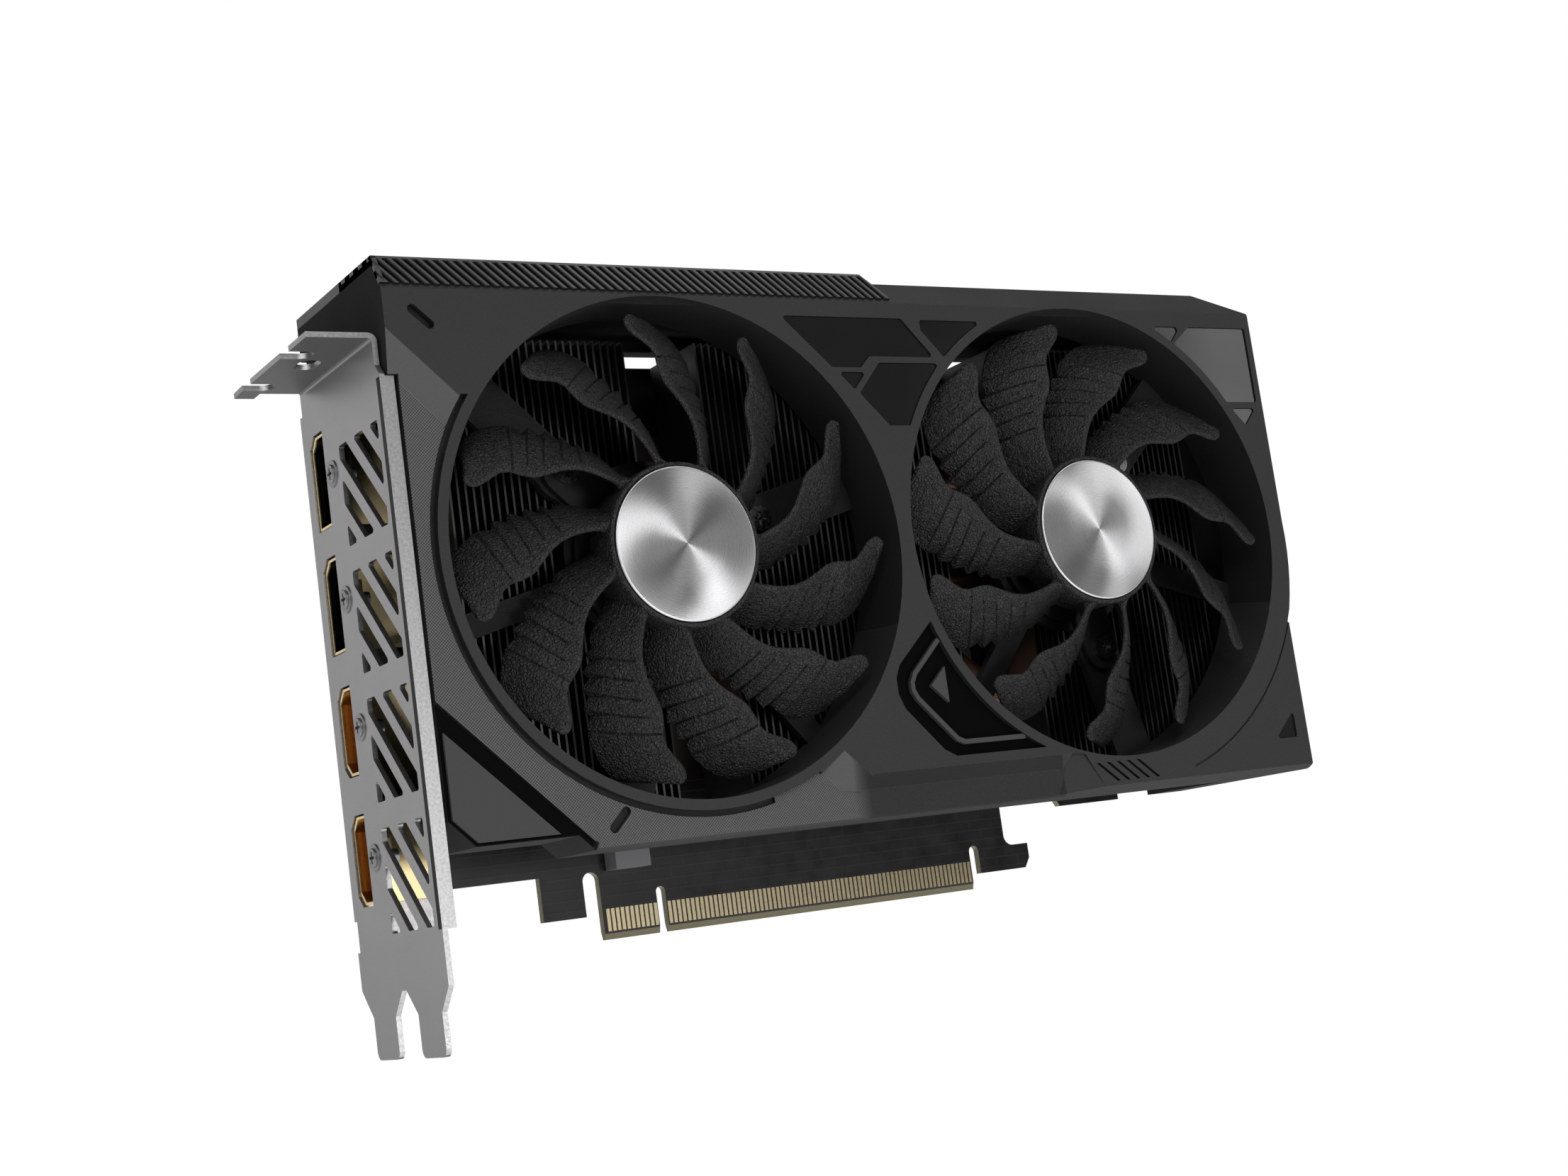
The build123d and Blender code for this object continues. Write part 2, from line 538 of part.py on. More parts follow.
with BuildPart() as spring_plate:
    with BuildSketch(facing_front(BOARD_BACK + 1.6)):
        with Locations((CHIP_X, CHIP_Z)):
            Rectangle(76.4, 5.0, rotation=45)
            Rectangle(76.4, 5.0, rotation=-45)
            RectangleRounded(34, 34, 2)
            RectangleRounded(26, 26, 2, mode=Mode.SUBTRACT)
        with Locations(*COOLER_SCREWS):
            Circle(4.0)
            Circle(1.5, mode=Mode.SUBTRACT)
    extrude(amount=0.8)
write(spring_plate, "spring_plate")

with BuildPart() as spring_screws:
    with BuildSketch(facing_front(BOARD_BACK + 2.0)):
        with Locations(*COOLER_SCREWS):
            Circle(2.9)
    extrude(amount=0.4)
    with BuildSketch(facing_front(BOARD_BACK + 1.6)):
        with Locations(*COOLER_SCREWS):
            Circle(1.25)
    extrude(amount=5.0)
    with BuildSketch(facing_front(BOARD_BACK + 2.0)):
        with Locations(*COOLER_SCREWS):
            Rectangle(3.0, 0.6)
            Rectangle(0.6, 3.0)
    extrude(amount=0.3, mode=Mode.SUBTRACT)
write(spring_screws, "spring_screws")


# ---------------------------------------------------------------- shroud
def shroud_outline():
    """Shroud seen from the front: stepped left side, and a bulge that follows the right fan."""
    with BuildLine() as edge:
        Polyline((-56.9, 97.2), (-58.7, 97.2), (SHROUD_LEFT, 105.0), (SHROUD_LEFT, SHROUD_TOP),
                 (124.8, SHROUD_TOP), (SHROUD_RIGHT, FACE_TOP), (SHROUD_RIGHT, FAN_Z))
        ThreePointArc((SHROUD_RIGHT, FAN_Z), (136.5, 56.5), (RIGHT_FOOT, 46.0))
        Polyline((RIGHT_FOOT, 46.0), (RIGHT_FOOT, SHROUD_BOTTOM), (-31.0, SHROUD_BOTTOM), (-33.7, 17.7),
                 (-52.4, 17.7), (-56.9, 22.2), (-56.9, 97.2))
    make_face(edge.line)


def cavity(x0, x1, low, high):
    """Hollow out one stretch of the shroud, following the bevel along the top of the face."""
    with BuildSketch(facing_right(x0)) as profile:
        if high > FACE_TOP:
            outline((SHROUD_REAR + 1, low), (FACE_INNER, low), (FACE_INNER, FACE_TOP - 1.0),
                    (RIDGE_Y + 1.5, high), (SHROUD_REAR + 1, high))
        else:
            outline((SHROUD_REAR + 1, low), (FACE_INNER, low), (FACE_INNER, high), (SHROUD_REAR + 1, high))
    extrude(profile.sketch, amount=x1 - x0, mode=Mode.SUBTRACT)


def open_box(x_span, y_span, z_span):
    """Cut a rectangular opening between the given limits."""
    with BuildSketch(Plane.XY.offset(z_span[0])) as footprint:
        with Locations(((x_span[0] + x_span[1]) / 2, (y_span[0] + y_span[1]) / 2)):
            Rectangle(x_span[1] - x_span[0], y_span[1] - y_span[0])
    extrude(footprint.sketch, amount=z_span[1] - z_span[0], mode=Mode.SUBTRACT)


def around_fan(sense, angle):
    """Angle on a fan seen from the front: the right fan mirrors the left one."""
    return angle if sense > 0 else 180.0 - angle


# Glossy windows beside the fans, black recesses, and the grey pieces that stand in them
WINDOWS = (
    ((19.5, 109.0), (46.7, 109.0), (53.2, 101.4), (38.2, 101.4), (36.0, 99.2), (29.5, 99.2)),
    ((51.0, 108.8), (70.0, 108.8), (56.0, 101.0), (51.0, 106.8)),
    ((30.6, 98.3), (37.0, 98.3), (33.9, 94.9)),
    ((40.2, 100.2), (56.0, 100.2), (45.8, 87.9), (40.7, 87.9), (34.9, 94.2)),
    ((104.0, 108.8), (116.2, 108.8), (116.7, 108.0), (113.3, 104.0)),
    ((119.7, 108.8), (135.4, 108.8), (135.4, 92.7), (124.0, 92.7), (113.6, 104.0)),
    ((127.9, 91.4), (134.8, 91.4), (131.4, 87.7)),
    ((130.9, 27.2), (130.9, 21.7), (125.0, 21.7)),
)
CHEVRON = ((43.9, 50.8), (34.9, 42.4), (33.8, 40.0), (33.8, 37.0), (34.9, 34.2), (42.3, 26.1), (44.9, 24.7),
           (69.5, 24.7))
CHEVRON_LINE = ((44.6, 46.7), (38.2, 40.6), (37.4, 39.0), (37.4, 37.6), (38.2, 36.0), (45.8, 27.9),
                (47.4, 27.2), (61.5, 27.2))
CHEVRON_ARROW = ((45.1, 41.6), (41.5, 38.2), (45.1, 34.8))
CORNER_RECESS = ((-57.0, 42.0), (-31.0, 16.4), (-31.0, 15.0), (-33.7, 17.7), (-52.4, 17.7), (-56.9, 22.2))
CORNER_PANEL = ((-56.3, 36.7), (-37.4, 18.3), (-52.2, 18.3), (-56.3, 22.4))
WINDOW_FLOOR, WINDOW_TOP = SHROUD_FRONT + 0.8, SHROUD_FRONT + 0.3
RECESS_FLOOR, RECESS_SKIN = SHROUD_FRONT + 1.4, SHROUD_FRONT + 1.1
ACCENT_TOP = SHROUD_FRONT + 0.2
CLEAR = 0.1


def window_faces(shrink):
    for points in WINDOWS:
        with BuildSketch(mode=Mode.PRIVATE) as pane:
            outline(*points)
            with Locations((FAN_X[1], FAN_Z)):
                Circle(RING_BAND_R, mode=Mode.SUBTRACT)
            corners = pane.vertices()
            fillet(corners, 0.5)
            if shrink:
                offset(amount=-shrink, kind=Kind.INTERSECTION, mode=Mode.REPLACE)
        add(pane.sketch)


ZONE_DEPTH = 0.7
STEP_R, STEP_WIDE, STEP_DEEP = 50.8, 0.4, 0.35
GROOVE_IN, GROOVE_OUT = 47.2, 48.3
# Rooms inside the shroud: X from and to, Z from and to
SHROUD_ROOMS = ((-54.9, -30.0, 24.5, SHROUD_TOP - SHROUD_WALL),
                (-30.0, 122.0, SHROUD_BOTTOM + SHROUD_WALL, SHROUD_TOP - SHROUD_WALL),
                (122.0, 132.0, SHROUD_BOTTOM + SHROUD_WALL, 110.0),
                (132.0, 134.9, 56.0, 110.0))
SPIDER_HUB_R, SPIDER_BOSS_R, SPIDER_HOLE_R = 18.0, 5.0, 1.2
ARM_MIDDLE, ARM_LONG, ARM_WIDE, RIB_WIDE = 30.6, 30.8, 9.0, 4.5
LIP_LOW, LIP_HIGH, LIP_DEEP = 112.4, 115.0, 3.6
POST_PILOT_R = 1.05
# Capsule slots in the face: place, length and tilt
FACE_SLOTS = (((-51.9, 107.1), 5.6, -42), ((-26.0, 19.6), 5.4, 45))
SLOT_WIDE, SLOT_DEEP = 1.7, 1.5
LOUVRE_LEFT, LOUVRE_PITCH, LOUVRE_COUNT, LOUVRE_DEEP = 77.4, 2.5, 5, 0.9
RAMP_TOP = ((-60.0, 98.4), (-49.6, 88.0))
RAMP_LOW = ((14.8, 23.9), (18.4, 20.5))


def ramp_cut(points, deep, shallow):
    """Cutter for a floor that rises from the zone's depth at the point deep to the face at shallow."""
    run = (Vector(shallow[0], 0, shallow[1]) - Vector(deep[0], 0, deep[1]))
    reach = run.length
    side = Plane(origin=(deep[0], SHROUD_FRONT, deep[1]), x_dir=run, z_dir=run.cross(Vector(0, 1, 0)))
    with BuildPart() as cutter:
        with BuildSketch(facing_front(SHROUD_FRONT + 2)) as face:
            outline(*points)
            with Locations((FAN_X[0], FAN_Z)):
                Circle(RING_BAND_R, mode=Mode.SUBTRACT)
        extrude(face.sketch, amount=3)
        with BuildSketch(side) as slope:
            outline((-1, -2), (-1, ZONE_DEPTH * (reach + 1) / reach), (reach, 0), (reach, -2))
        extrude(slope.sketch, amount=60, both=True, mode=Mode.INTERSECT)
    return cutter.part


ramps = [
    ramp_cut((RAMP_TOP[0], (-60.0, 106.9), (-45.6, 92.8), RAMP_TOP[1]), (-53.9, 92.2), (-49.6, 96.6)),
    ramp_cut((RAMP_LOW[0], (20.4, 27.8), (24.4, 24.0), (26.4, 23.0), (22.4, 20.05), RAMP_LOW[1]),
             (16.6, 22.2), (21.2, 27.0)),
    ramp_cut(((22.4, 20.05), (26.4, 23.0), (72.0, 23.0), (69.5, 20.1)), (45.0, 20.1), (45.0, 23.0)),
    ramp_cut(((66.5, 14.0), (69.5, 20.1), (72.0, 23.0), (75.0, 22.6), (80.0, 14.0)),
             (68.0, 17.6), (78.0, 12.7)),
]

with BuildPart() as shroud:
    with BuildSketch(facing_front(SHROUD_REAR)):
        shroud_outline()
    extrude(amount=SHROUD_REAR - SHROUD_FRONT)
    fillet(shroud.edges().filter_by(Axis.Y).group_by(Axis.X)[-1], 0.8)
    low_corner = shroud.edges().filter_by(Axis.Y).filter_by(
        lambda e: e.center().X > 133 and e.center().Z < 20)
    fillet(low_corner, 1.2)
    # Bevels along the top and the bottom of the face
    with BuildSketch(facing_right(SHROUD_LEFT - 1)):
        outline((SHROUD_FRONT - 1, FACE_TOP), (SHROUD_FRONT, FACE_TOP), (RIDGE_Y, SHROUD_TOP),
                (RIDGE_Y, SHROUD_TOP + 1), (SHROUD_FRONT - 1, SHROUD_TOP + 1))
        outline((SHROUD_FRONT - 1, SHROUD_BOTTOM - 1), (SHROUD_FRONT - 1, 16.0), (SHROUD_FRONT, 16.0),
                (SHROUD_FRONT + 1, SHROUD_BOTTOM), (SHROUD_FRONT + 1, SHROUD_BOTTOM - 1))
    extrude(amount=220, mode=Mode.SUBTRACT)
    for room in SHROUD_ROOMS:
        cavity(*room)
    # Fan openings with skirts, and the spiders that carry the fans
    for fan_x, sense in zip(FAN_X, FAN_SENSE):
        with BuildSketch(facing_front(SPIDER_REAR)):
            with Locations((fan_x, FAN_Z)):
                Circle(OPENING_R + SKIRT_WALL)
                Circle(OPENING_R, mode=Mode.SUBTRACT)
        extrude(amount=SPIDER_REAR - FACE_INNER + 0.5)
        with BuildSketch(facing_front(FACE_INNER + 0.01)):
            with Locations((fan_x, FAN_Z)):
                Circle(OPENING_R)
        extrude(amount=SHROUD_WALL + 1, mode=Mode.SUBTRACT)
        with BuildSketch(facing_front(SPIDER_REAR)):
            with Locations((fan_x, FAN_Z)):
                Circle(SPIDER_HUB_R)
                for angle in FAN_SCREW_ANGLES:
                    with PolarLocations(ARM_MIDDLE, 1, start_angle=around_fan(sense, angle)):
                        Rectangle(ARM_LONG, ARM_WIDE)
                    with PolarLocations(FAN_SCREW_R, 1, start_angle=around_fan(sense, angle)):
                        Circle(SPIDER_BOSS_R)
                for angle in SPIDER_RIB_ANGLES:
                    with PolarLocations(ARM_MIDDLE, 1, start_angle=around_fan(sense, angle)):
                        Rectangle(ARM_LONG, RIB_WIDE)
                for angle in FAN_SCREW_ANGLES:
                    with PolarLocations(FAN_SCREW_R, 1, start_angle=around_fan(sense, angle)):
                        Circle(SPIDER_HOLE_R, mode=Mode.SUBTRACT)
        extrude(amount=SPIDER_REAR - SPIDER_FRONT)
    # Lip along the rear of the top wall
    with BuildSketch(facing_front(SHROUD_REAR)):
        outline((-55.5, LIP_LOW), (-55.5, LIP_HIGH), (132.5, LIP_HIGH), (132.5, LIP_LOW))
    extrude(amount=LIP_DEEP)
    # Openings for the bracket's sockets and air, the board, the heatsink's air and the power plug
    open_box((-60, -54), (-35.5, 3), (24.5, 95.5))
    open_box((-60, -54), (-1.6, 3), (14, 110.5))
    open_box((-60, -29.9), (-22.6, 3), (14, 24.6))
    open_box((-60, 123.4), (-22.6, 3), (14, 17.1))
    open_box((POWER_LEFT - 0.4, POWER_RIGHT + 0.4), (power_front - 0.3, 3), (111, 118))
    # Posts for the screws from the rear
    for x, z, end in POSTS:
        with BuildSketch(facing_front(end)):
            with Locations((x, z)):
                Circle(POST_R)
        extrude(amount=end - FACE_INNER + 0.5)
        with BuildSketch(facing_front(end)):
            with Locations((x, z)):
                Circle(POST_PILOT_R)
        extrude(amount=end - BACKPLATE_OUTER + 9.0, mode=Mode.SUBTRACT)
    # Pockets in the face
    with BuildSketch(facing_front(WINDOW_FLOOR)):
        window_faces(0)
    extrude(amount=2, mode=Mode.SUBTRACT)
    with BuildSketch(facing_front(RECESS_FLOOR)):
        outline(*CHEVRON)
        with Locations((FAN_X[1], FAN_Z)):
            Circle(RING_BAND_R, mode=Mode.SUBTRACT)
        outline(*CORNER_RECESS)
    extrude(amount=2, mode=Mode.SUBTRACT)
    with BuildSketch(facing_front(RECESS_FLOOR)):
        with Locations((FAN_X[0], FAN_Z)):
            Circle(GROOVE_OUT)
            Circle(GROOVE_IN, mode=Mode.SUBTRACT)
        outline((0, FAN_Z + 30), (60, FAN_Z + 60), (60, 0), (6, 0), mode=Mode.SUBTRACT)
        outline((-70, FAN_Z + 27), (70, FAN_Z + 27), (70, 140), (-70, 140), mode=Mode.SUBTRACT)
        outline((-57.1, 36), (-20, 0), (-57.1, 0), mode=Mode.SUBTRACT)
    extrude(amount=2, mode=Mode.SUBTRACT)
    with BuildSketch(facing_front(SHROUD_FRONT + SLOT_DEEP)):
        for place, long, tilt in FACE_SLOTS:
            with Locations(place):
                SlotOverall(long, SLOT_WIDE, rotation=tilt)
    extrude(amount=2, mode=Mode.SUBTRACT)
    with BuildSketch(facing_front(SHROUD_FRONT + LOUVRE_DEEP)):
        for i in range(LOUVRE_COUNT):
            x = LOUVRE_LEFT + LOUVRE_PITCH * i
            outline((x, 20.6), (x + 0.8, 20.6), (x + 5.4, 16.8), (x + 4.6, 16.8))
    extrude(amount=2, mode=Mode.SUBTRACT)
    # Sunken woven zone round the left fan, its ramps up to the face, and the step round the right fan
    with BuildSketch(facing_front(SHROUD_FRONT + ZONE_DEPTH)):
        outline((-60, 98.4), RAMP_TOP[1], (FAN_X[0], FAN_Z), RAMP_LOW[0], RAMP_LOW[1], (22.4, 20.05),
                (69.5, 20.1), (66.5, 14), (-60, 14))
        outline((-60, 45), (-57, 42), (-31, 16.4), (-30, 13), (-60, 13), mode=Mode.SUBTRACT)
        with Locations((FAN_X[0], FAN_Z)):
            Circle(RING_BAND_R, mode=Mode.SUBTRACT)
    extrude(amount=2, mode=Mode.SUBTRACT)
    for ramp in ramps:
        add(ramp, mode=Mode.SUBTRACT)
    with BuildSketch(facing_front(SHROUD_FRONT + STEP_DEEP)):
        with Locations((FAN_X[1], FAN_Z)):
            Circle(STEP_R + STEP_WIDE / 2)
            Circle(STEP_R - STEP_WIDE / 2, mode=Mode.SUBTRACT)
        outline((20, 0), (20, 130), (102.3, 130), (102.3, 0), mode=Mode.SUBTRACT)
        outline((100, 54), (100, 130), (150, 130), (150, 54), mode=Mode.SUBTRACT)
    extrude(amount=2, mode=Mode.SUBTRACT)
write(shroud, "shroud")

with BuildPart() as gloss_windows:
    with BuildSketch(facing_front(WINDOW_FLOOR)):
        window_faces(CLEAR)
    extrude(amount=WINDOW_FLOOR - WINDOW_TOP)
write(gloss_windows, "gloss_windows")

with BuildPart() as black_inlays:
    with BuildSketch(facing_front(RECESS_FLOOR)):
        outline(*CHEVRON)
        with Locations((FAN_X[1], FAN_Z)):
            Circle(RING_BAND_R, mode=Mode.SUBTRACT)
        offset(amount=-CLEAR, kind=Kind.INTERSECTION, mode=Mode.REPLACE)
    extrude(amount=RECESS_FLOOR - RECESS_SKIN)
    with BuildSketch(facing_front(RECESS_FLOOR)):
        outline((-56.8, 41.5), (-31.4, 16.6), (-31.4, 15.6), (-33.6, 17.8), (-52.3, 17.8), (-56.8, 22.3))
    extrude(amount=RECESS_FLOOR - RECESS_SKIN)
write(black_inlays, "black_inlays")

with BuildPart() as grey_accents:
    with BuildSketch(facing_front(RECESS_SKIN)):
        with BuildLine():
            Polyline(*CHEVRON_LINE)
        trace(line_width=0.9)
        outline(*CHEVRON_ARROW)
        with Locations((FAN_X[1], FAN_Z)):
            Circle(RING_BAND_R + CLEAR, mode=Mode.SUBTRACT)
    extrude(amount=RECESS_SKIN - ACCENT_TOP)
write(grey_accents, "grey_accents")

with BuildPart() as corner_panel:
    with BuildSketch(facing_front(RECESS_SKIN)):
        outline(*CORNER_PANEL)
    extrude(amount=RECESS_SKIN - ACCENT_TOP - 0.3)
write(corner_panel, "corner_panel")

TRIM_TOP, TRIM_LOW = 118.5, 112.85
bevel_y = SHROUD_FRONT + (TRIM_LOW - FACE_TOP) * (RIDGE_Y - SHROUD_FRONT) / (SHROUD_TOP - FACE_TOP)
with BuildPart() as ribbed_trim:
    with BuildSketch(facing_right(SHROUD_LEFT)):
        outline((bevel_y, TRIM_LOW), (-39.25, TRIM_LOW + 0.1), (-36.4, TRIM_TOP), (-21.0, TRIM_TOP),
                (-21.0, SHROUD_TOP), (RIDGE_Y, SHROUD_TOP))
    extrude(amount=45.2 - SHROUD_LEFT)
    with BuildSketch(facing_front(-15)):
        outline((40.6, TRIM_TOP), (46.5, TRIM_TOP), (46.5, 112.0), (45.2, 112.6))
    extrude(amount=30, mode=Mode.SUBTRACT)
    with BuildSketch(Plane.XY.offset(SHROUD_TOP)):
        outline((SHROUD_LEFT, -21.5), (-46.0, -21.5), (-46.0, SHROUD_REAR), (SHROUD_LEFT, SHROUD_REAR))
    extrude(amount=TRIM_TOP - SHROUD_TOP)
write(ribbed_trim, "ribbed_trim")


# ---------------------------------------------------------------- fans
def fan_plane(fan_x):
    """Workplane on a fan's axis at Y = 0: local height is measured towards the front."""
    return Plane(origin=(fan_x, 0, FAN_Z), x_dir=(1, 0, 0), z_dir=(0, -1, 0))


def trailing_angle(radius):
    """Degrees behind the tip at which the rear edge of a blade lies."""
    out = radius - 16.0
    return -48.0 + 0.88 * out + 0.0118 * out * out


# Leading edge of a blade: (radius, degrees behind the tip), with the corner that splits the air at 30 to
# 35 mm
LEADING_EDGE = ((14.3, -30.5), (20.5, -25.0), (25.0, -18.6), (30.2, -9.4), (35.5, -8.0), (39.6, -1.2),
                (42.3, -1.0))


def blade_section(fan_x, sense, tip_angle, radius, lead):
    """Plane across a blade at one radius, and the section's corners on it."""
    trail = trailing_angle(radius)
    mid = radians(tip_angle + sense * (lead + trail) / 2)
    plane = Plane(origin=(fan_x + radius * cos(mid), 0, FAN_Z + radius * sin(mid)),
                  x_dir=(-sin(mid), 0, cos(mid)), z_dir=(cos(mid), 0, sin(mid)))
    reach = sense * radius * sin(radians(lead - trail) / 2)
    half = BLADE_THICK / 2
    corners = ((-reach, -TRAIL_EDGE_Y - half), (reach, -LEAD_EDGE_Y - half),
               (reach, -LEAD_EDGE_Y), (-reach, -TRAIL_EDGE_Y + half))
    return plane, corners


for fan_x, sense, tip_angle, side in zip(FAN_X, FAN_SENSE, FAN_TIP_ANGLE, ("left", "right")):
    axis_plane = fan_plane(fan_x)
    screw_angles = [around_fan(sense, a) for a in FAN_SCREW_ANGLES]

    with BuildPart() as blade:
        for radius, lead in LEADING_EDGE:
            plane, corners = blade_section(fan_x, sense, tip_angle, radius, lead)
            with BuildSketch(plane):
                outline(*corners)
        loft(ruled=True)

    with BuildPart() as impeller:
        with BuildSketch(axis_plane.offset(30.2)):
            Circle(HUB_R)
        extrude(amount=8.2)
        fillet(impeller.edges().group_by(Axis.Y)[0], 0.4)
        turn = Axis((fan_x, 0, FAN_Z), (0, 1, 0))
        for i in range(BLADE_COUNT):
            add(blade.part.rotate(turn, i * 360 / BLADE_COUNT))
        with BuildSketch(axis_plane.offset(28)):
            Circle(13.4)
        extrude(amount=9.0, mode=Mode.SUBTRACT)
    write(impeller, f"{side}_impeller")

    with BuildPart() as hub_cap:
        with BuildSketch(axis_plane.offset(38.4)):
            Circle(CAP_R)
        extrude(amount=0.7)
        chamfer(hub_cap.edges().group_by(Axis.Y)[0], 0.25)
    write(hub_cap, f"{side}_hub_cap")

    with BuildPart() as shaft:
        with BuildSketch(axis_plane.offset(28.0)):
            Circle(SHAFT_R)
        extrude(amount=9.0)
    write(shaft, f"{side}_shaft")

    with BuildPart() as magnet:
        with BuildSketch(axis_plane.offset(30.6)):
            Circle(13.3)
            Circle(11.8, mode=Mode.SUBTRACT)
        extrude(amount=5.8)
    write(magnet, f"{side}_magnet")

    with BuildPart() as bearing:
        with BuildSketch(axis_plane.offset(-FAN_BASE_FRONT)):
            Circle(4.0)
            Circle(SHAFT_R + 0.05, mode=Mode.SUBTRACT)
        extrude(amount=8.6)
    write(bearing, f"{side}_bearing")

    with BuildPart() as stator:
        with BuildSketch(axis_plane.offset(31.5)):
            Circle(5.6)
            with PolarLocations(8.0, 9):
                Rectangle(6.0, 1.6)
            with PolarLocations(10.6, 9):
                Rectangle(1.0, 5.4)
            Circle(4.1, mode=Mode.SUBTRACT)
        extrude(amount=4.0)
    write(stator, f"{side}_stator")

    with BuildPart() as coils:
        with BuildSketch(axis_plane.offset(30.9)):
            with PolarLocations(8.2, 9):
                Rectangle(3.4, 3.4)
        extrude(amount=5.2)
        with BuildSketch(axis_plane.offset(31.5)):
            Circle(5.6)
            with PolarLocations(8.0, 9):
                Rectangle(6.0, 1.6)
        extrude(amount=4.0, mode=Mode.SUBTRACT)
    write(coils, f"{side}_coils")

    with BuildPart() as motor_board:
        with BuildSketch(axis_plane.offset(28.4)):
            Circle(12.8)
            Circle(5.4, mode=Mode.SUBTRACT)
        extrude(amount=0.8)
    write(motor_board, f"{side}_motor_board")

    with BuildPart() as fan_base:
        with BuildSketch(axis_plane.offset(-SPIDER_FRONT)):
            Circle(16.5)
            for angle in screw_angles:
                with PolarLocations(FAN_SCREW_R / 2 + 4, 1, start_angle=angle):
                    Rectangle(FAN_SCREW_R - 8, 8.4)
                with PolarLocations(FAN_SCREW_R, 1, start_angle=angle):
                    Circle(4.2)
            for angle in screw_angles:
                with PolarLocations(FAN_SCREW_R, 1, start_angle=angle):
                    Circle(1.35, mode=Mode.SUBTRACT)
        extrude(amount=SPIDER_FRONT - FAN_BASE_FRONT)
        with BuildSketch(axis_plane.offset(-FAN_BASE_FRONT)):
            Circle(5.2)
            Circle(4.05, mode=Mode.SUBTRACT)
        extrude(amount=3.4)
        with BuildSketch(axis_plane.offset(-FAN_BASE_FRONT)):
            Circle(9.0)
            Circle(7.5, mode=Mode.SUBTRACT)
        extrude(amount=0.8)
    write(fan_base, f"{side}_fan_base")

with BuildPart() as fan_screws:
    for fan_x, sense in zip(FAN_X, FAN_SENSE):
        for angle in FAN_SCREW_ANGLES:
            turn = radians(around_fan(sense, angle))
            spot = (fan_x + FAN_SCREW_R * cos(turn), FAN_Z + FAN_SCREW_R * sin(turn))
            with BuildSketch(facing_front(FAN_BASE_FRONT)):
                with Locations(spot):
                    Circle(2.4)
            extrude(amount=1.1)
            with BuildSketch(facing_front(SPIDER_REAR - 0.2)):
                with Locations(spot):
                    Circle(1.15)
            extrude(amount=SPIDER_REAR - 0.2 - FAN_BASE_FRONT)
            with BuildSketch(facing_front(FAN_BASE_FRONT - 0.4)):
                with Locations(spot):
                    Rectangle(2.6, 0.6)
                    Rectangle(0.6, 2.6)
            extrude(amount=1.0, mode=Mode.SUBTRACT)
write(fan_screws, "fan_screws")
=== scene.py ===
"""Looks of a dual-slot graphics card: finishes, detailed fans and trim, studio light and camera.

Everything is in metres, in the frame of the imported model: +X runs along the card away from its
bracket, +Z runs up from the edge connector, and the fans face -Y. The detailed pieces are worked
out in millimetres and scaled as they are made.
"""
import json
from math import cos, degrees, pi, radians, sin, sqrt

import bmesh
import bpy
from mathutils import Matrix, Vector


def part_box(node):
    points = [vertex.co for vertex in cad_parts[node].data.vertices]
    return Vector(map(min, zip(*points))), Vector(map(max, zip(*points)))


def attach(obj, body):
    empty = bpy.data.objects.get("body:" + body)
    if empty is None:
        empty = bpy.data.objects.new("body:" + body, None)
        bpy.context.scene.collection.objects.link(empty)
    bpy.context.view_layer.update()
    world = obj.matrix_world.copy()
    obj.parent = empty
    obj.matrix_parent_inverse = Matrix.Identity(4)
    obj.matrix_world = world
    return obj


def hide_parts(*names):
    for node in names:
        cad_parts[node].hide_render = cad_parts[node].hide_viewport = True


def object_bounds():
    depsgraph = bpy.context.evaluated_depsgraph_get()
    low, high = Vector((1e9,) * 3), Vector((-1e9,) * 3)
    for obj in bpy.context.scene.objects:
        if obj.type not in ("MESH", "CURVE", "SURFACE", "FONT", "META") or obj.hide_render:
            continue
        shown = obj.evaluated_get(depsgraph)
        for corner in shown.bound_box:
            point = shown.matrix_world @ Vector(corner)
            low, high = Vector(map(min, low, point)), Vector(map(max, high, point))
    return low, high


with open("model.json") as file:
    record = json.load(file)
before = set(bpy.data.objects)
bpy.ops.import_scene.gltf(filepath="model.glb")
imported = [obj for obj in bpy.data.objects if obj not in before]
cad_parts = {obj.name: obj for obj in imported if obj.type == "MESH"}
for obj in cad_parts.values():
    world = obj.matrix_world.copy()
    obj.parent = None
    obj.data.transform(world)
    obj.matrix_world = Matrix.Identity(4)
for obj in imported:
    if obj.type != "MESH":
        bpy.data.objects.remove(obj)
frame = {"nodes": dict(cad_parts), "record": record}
CAD_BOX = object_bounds()
NODES = frame["nodes"]
MM = 0.001
SIDES = ("left", "right")


# ---------------------------------------------------------------- camera
CAMERA_PLACE = Vector((-0.201685, -0.378784, 0.000049))
CAMERA_AZIMUTH, CAMERA_ELEVATION, CAMERA_ROLL = -32.218, -8.192, -7.893
CAMERA_LENS, SENSOR_WIDTH = 51.683, 36.0


def make_camera():
    turn, rise, roll = (radians(a) for a in (CAMERA_AZIMUTH, CAMERA_ELEVATION, CAMERA_ROLL))
    back = Vector((sin(turn) * cos(rise), -cos(turn) * cos(rise), sin(rise)))
    right = (-back).cross(Vector((0, 0, 1))).normalized()
    up = right.cross(-back)
    across = cos(roll) * right + sin(roll) * up
    over = cos(roll) * up - sin(roll) * right
    data = bpy.data.cameras.new("camera")
    data.lens, data.sensor_width, data.sensor_fit = CAMERA_LENS, SENSOR_WIDTH, "HORIZONTAL"
    data.clip_start, data.clip_end = 0.01, 20.0
    camera = bpy.data.objects.new("camera", data)
    camera.matrix_world = Matrix((across, over, back)).transposed().to_4x4()
    camera.location = CAMERA_PLACE
    bpy.context.scene.collection.objects.link(camera)
    bpy.context.scene.camera = camera


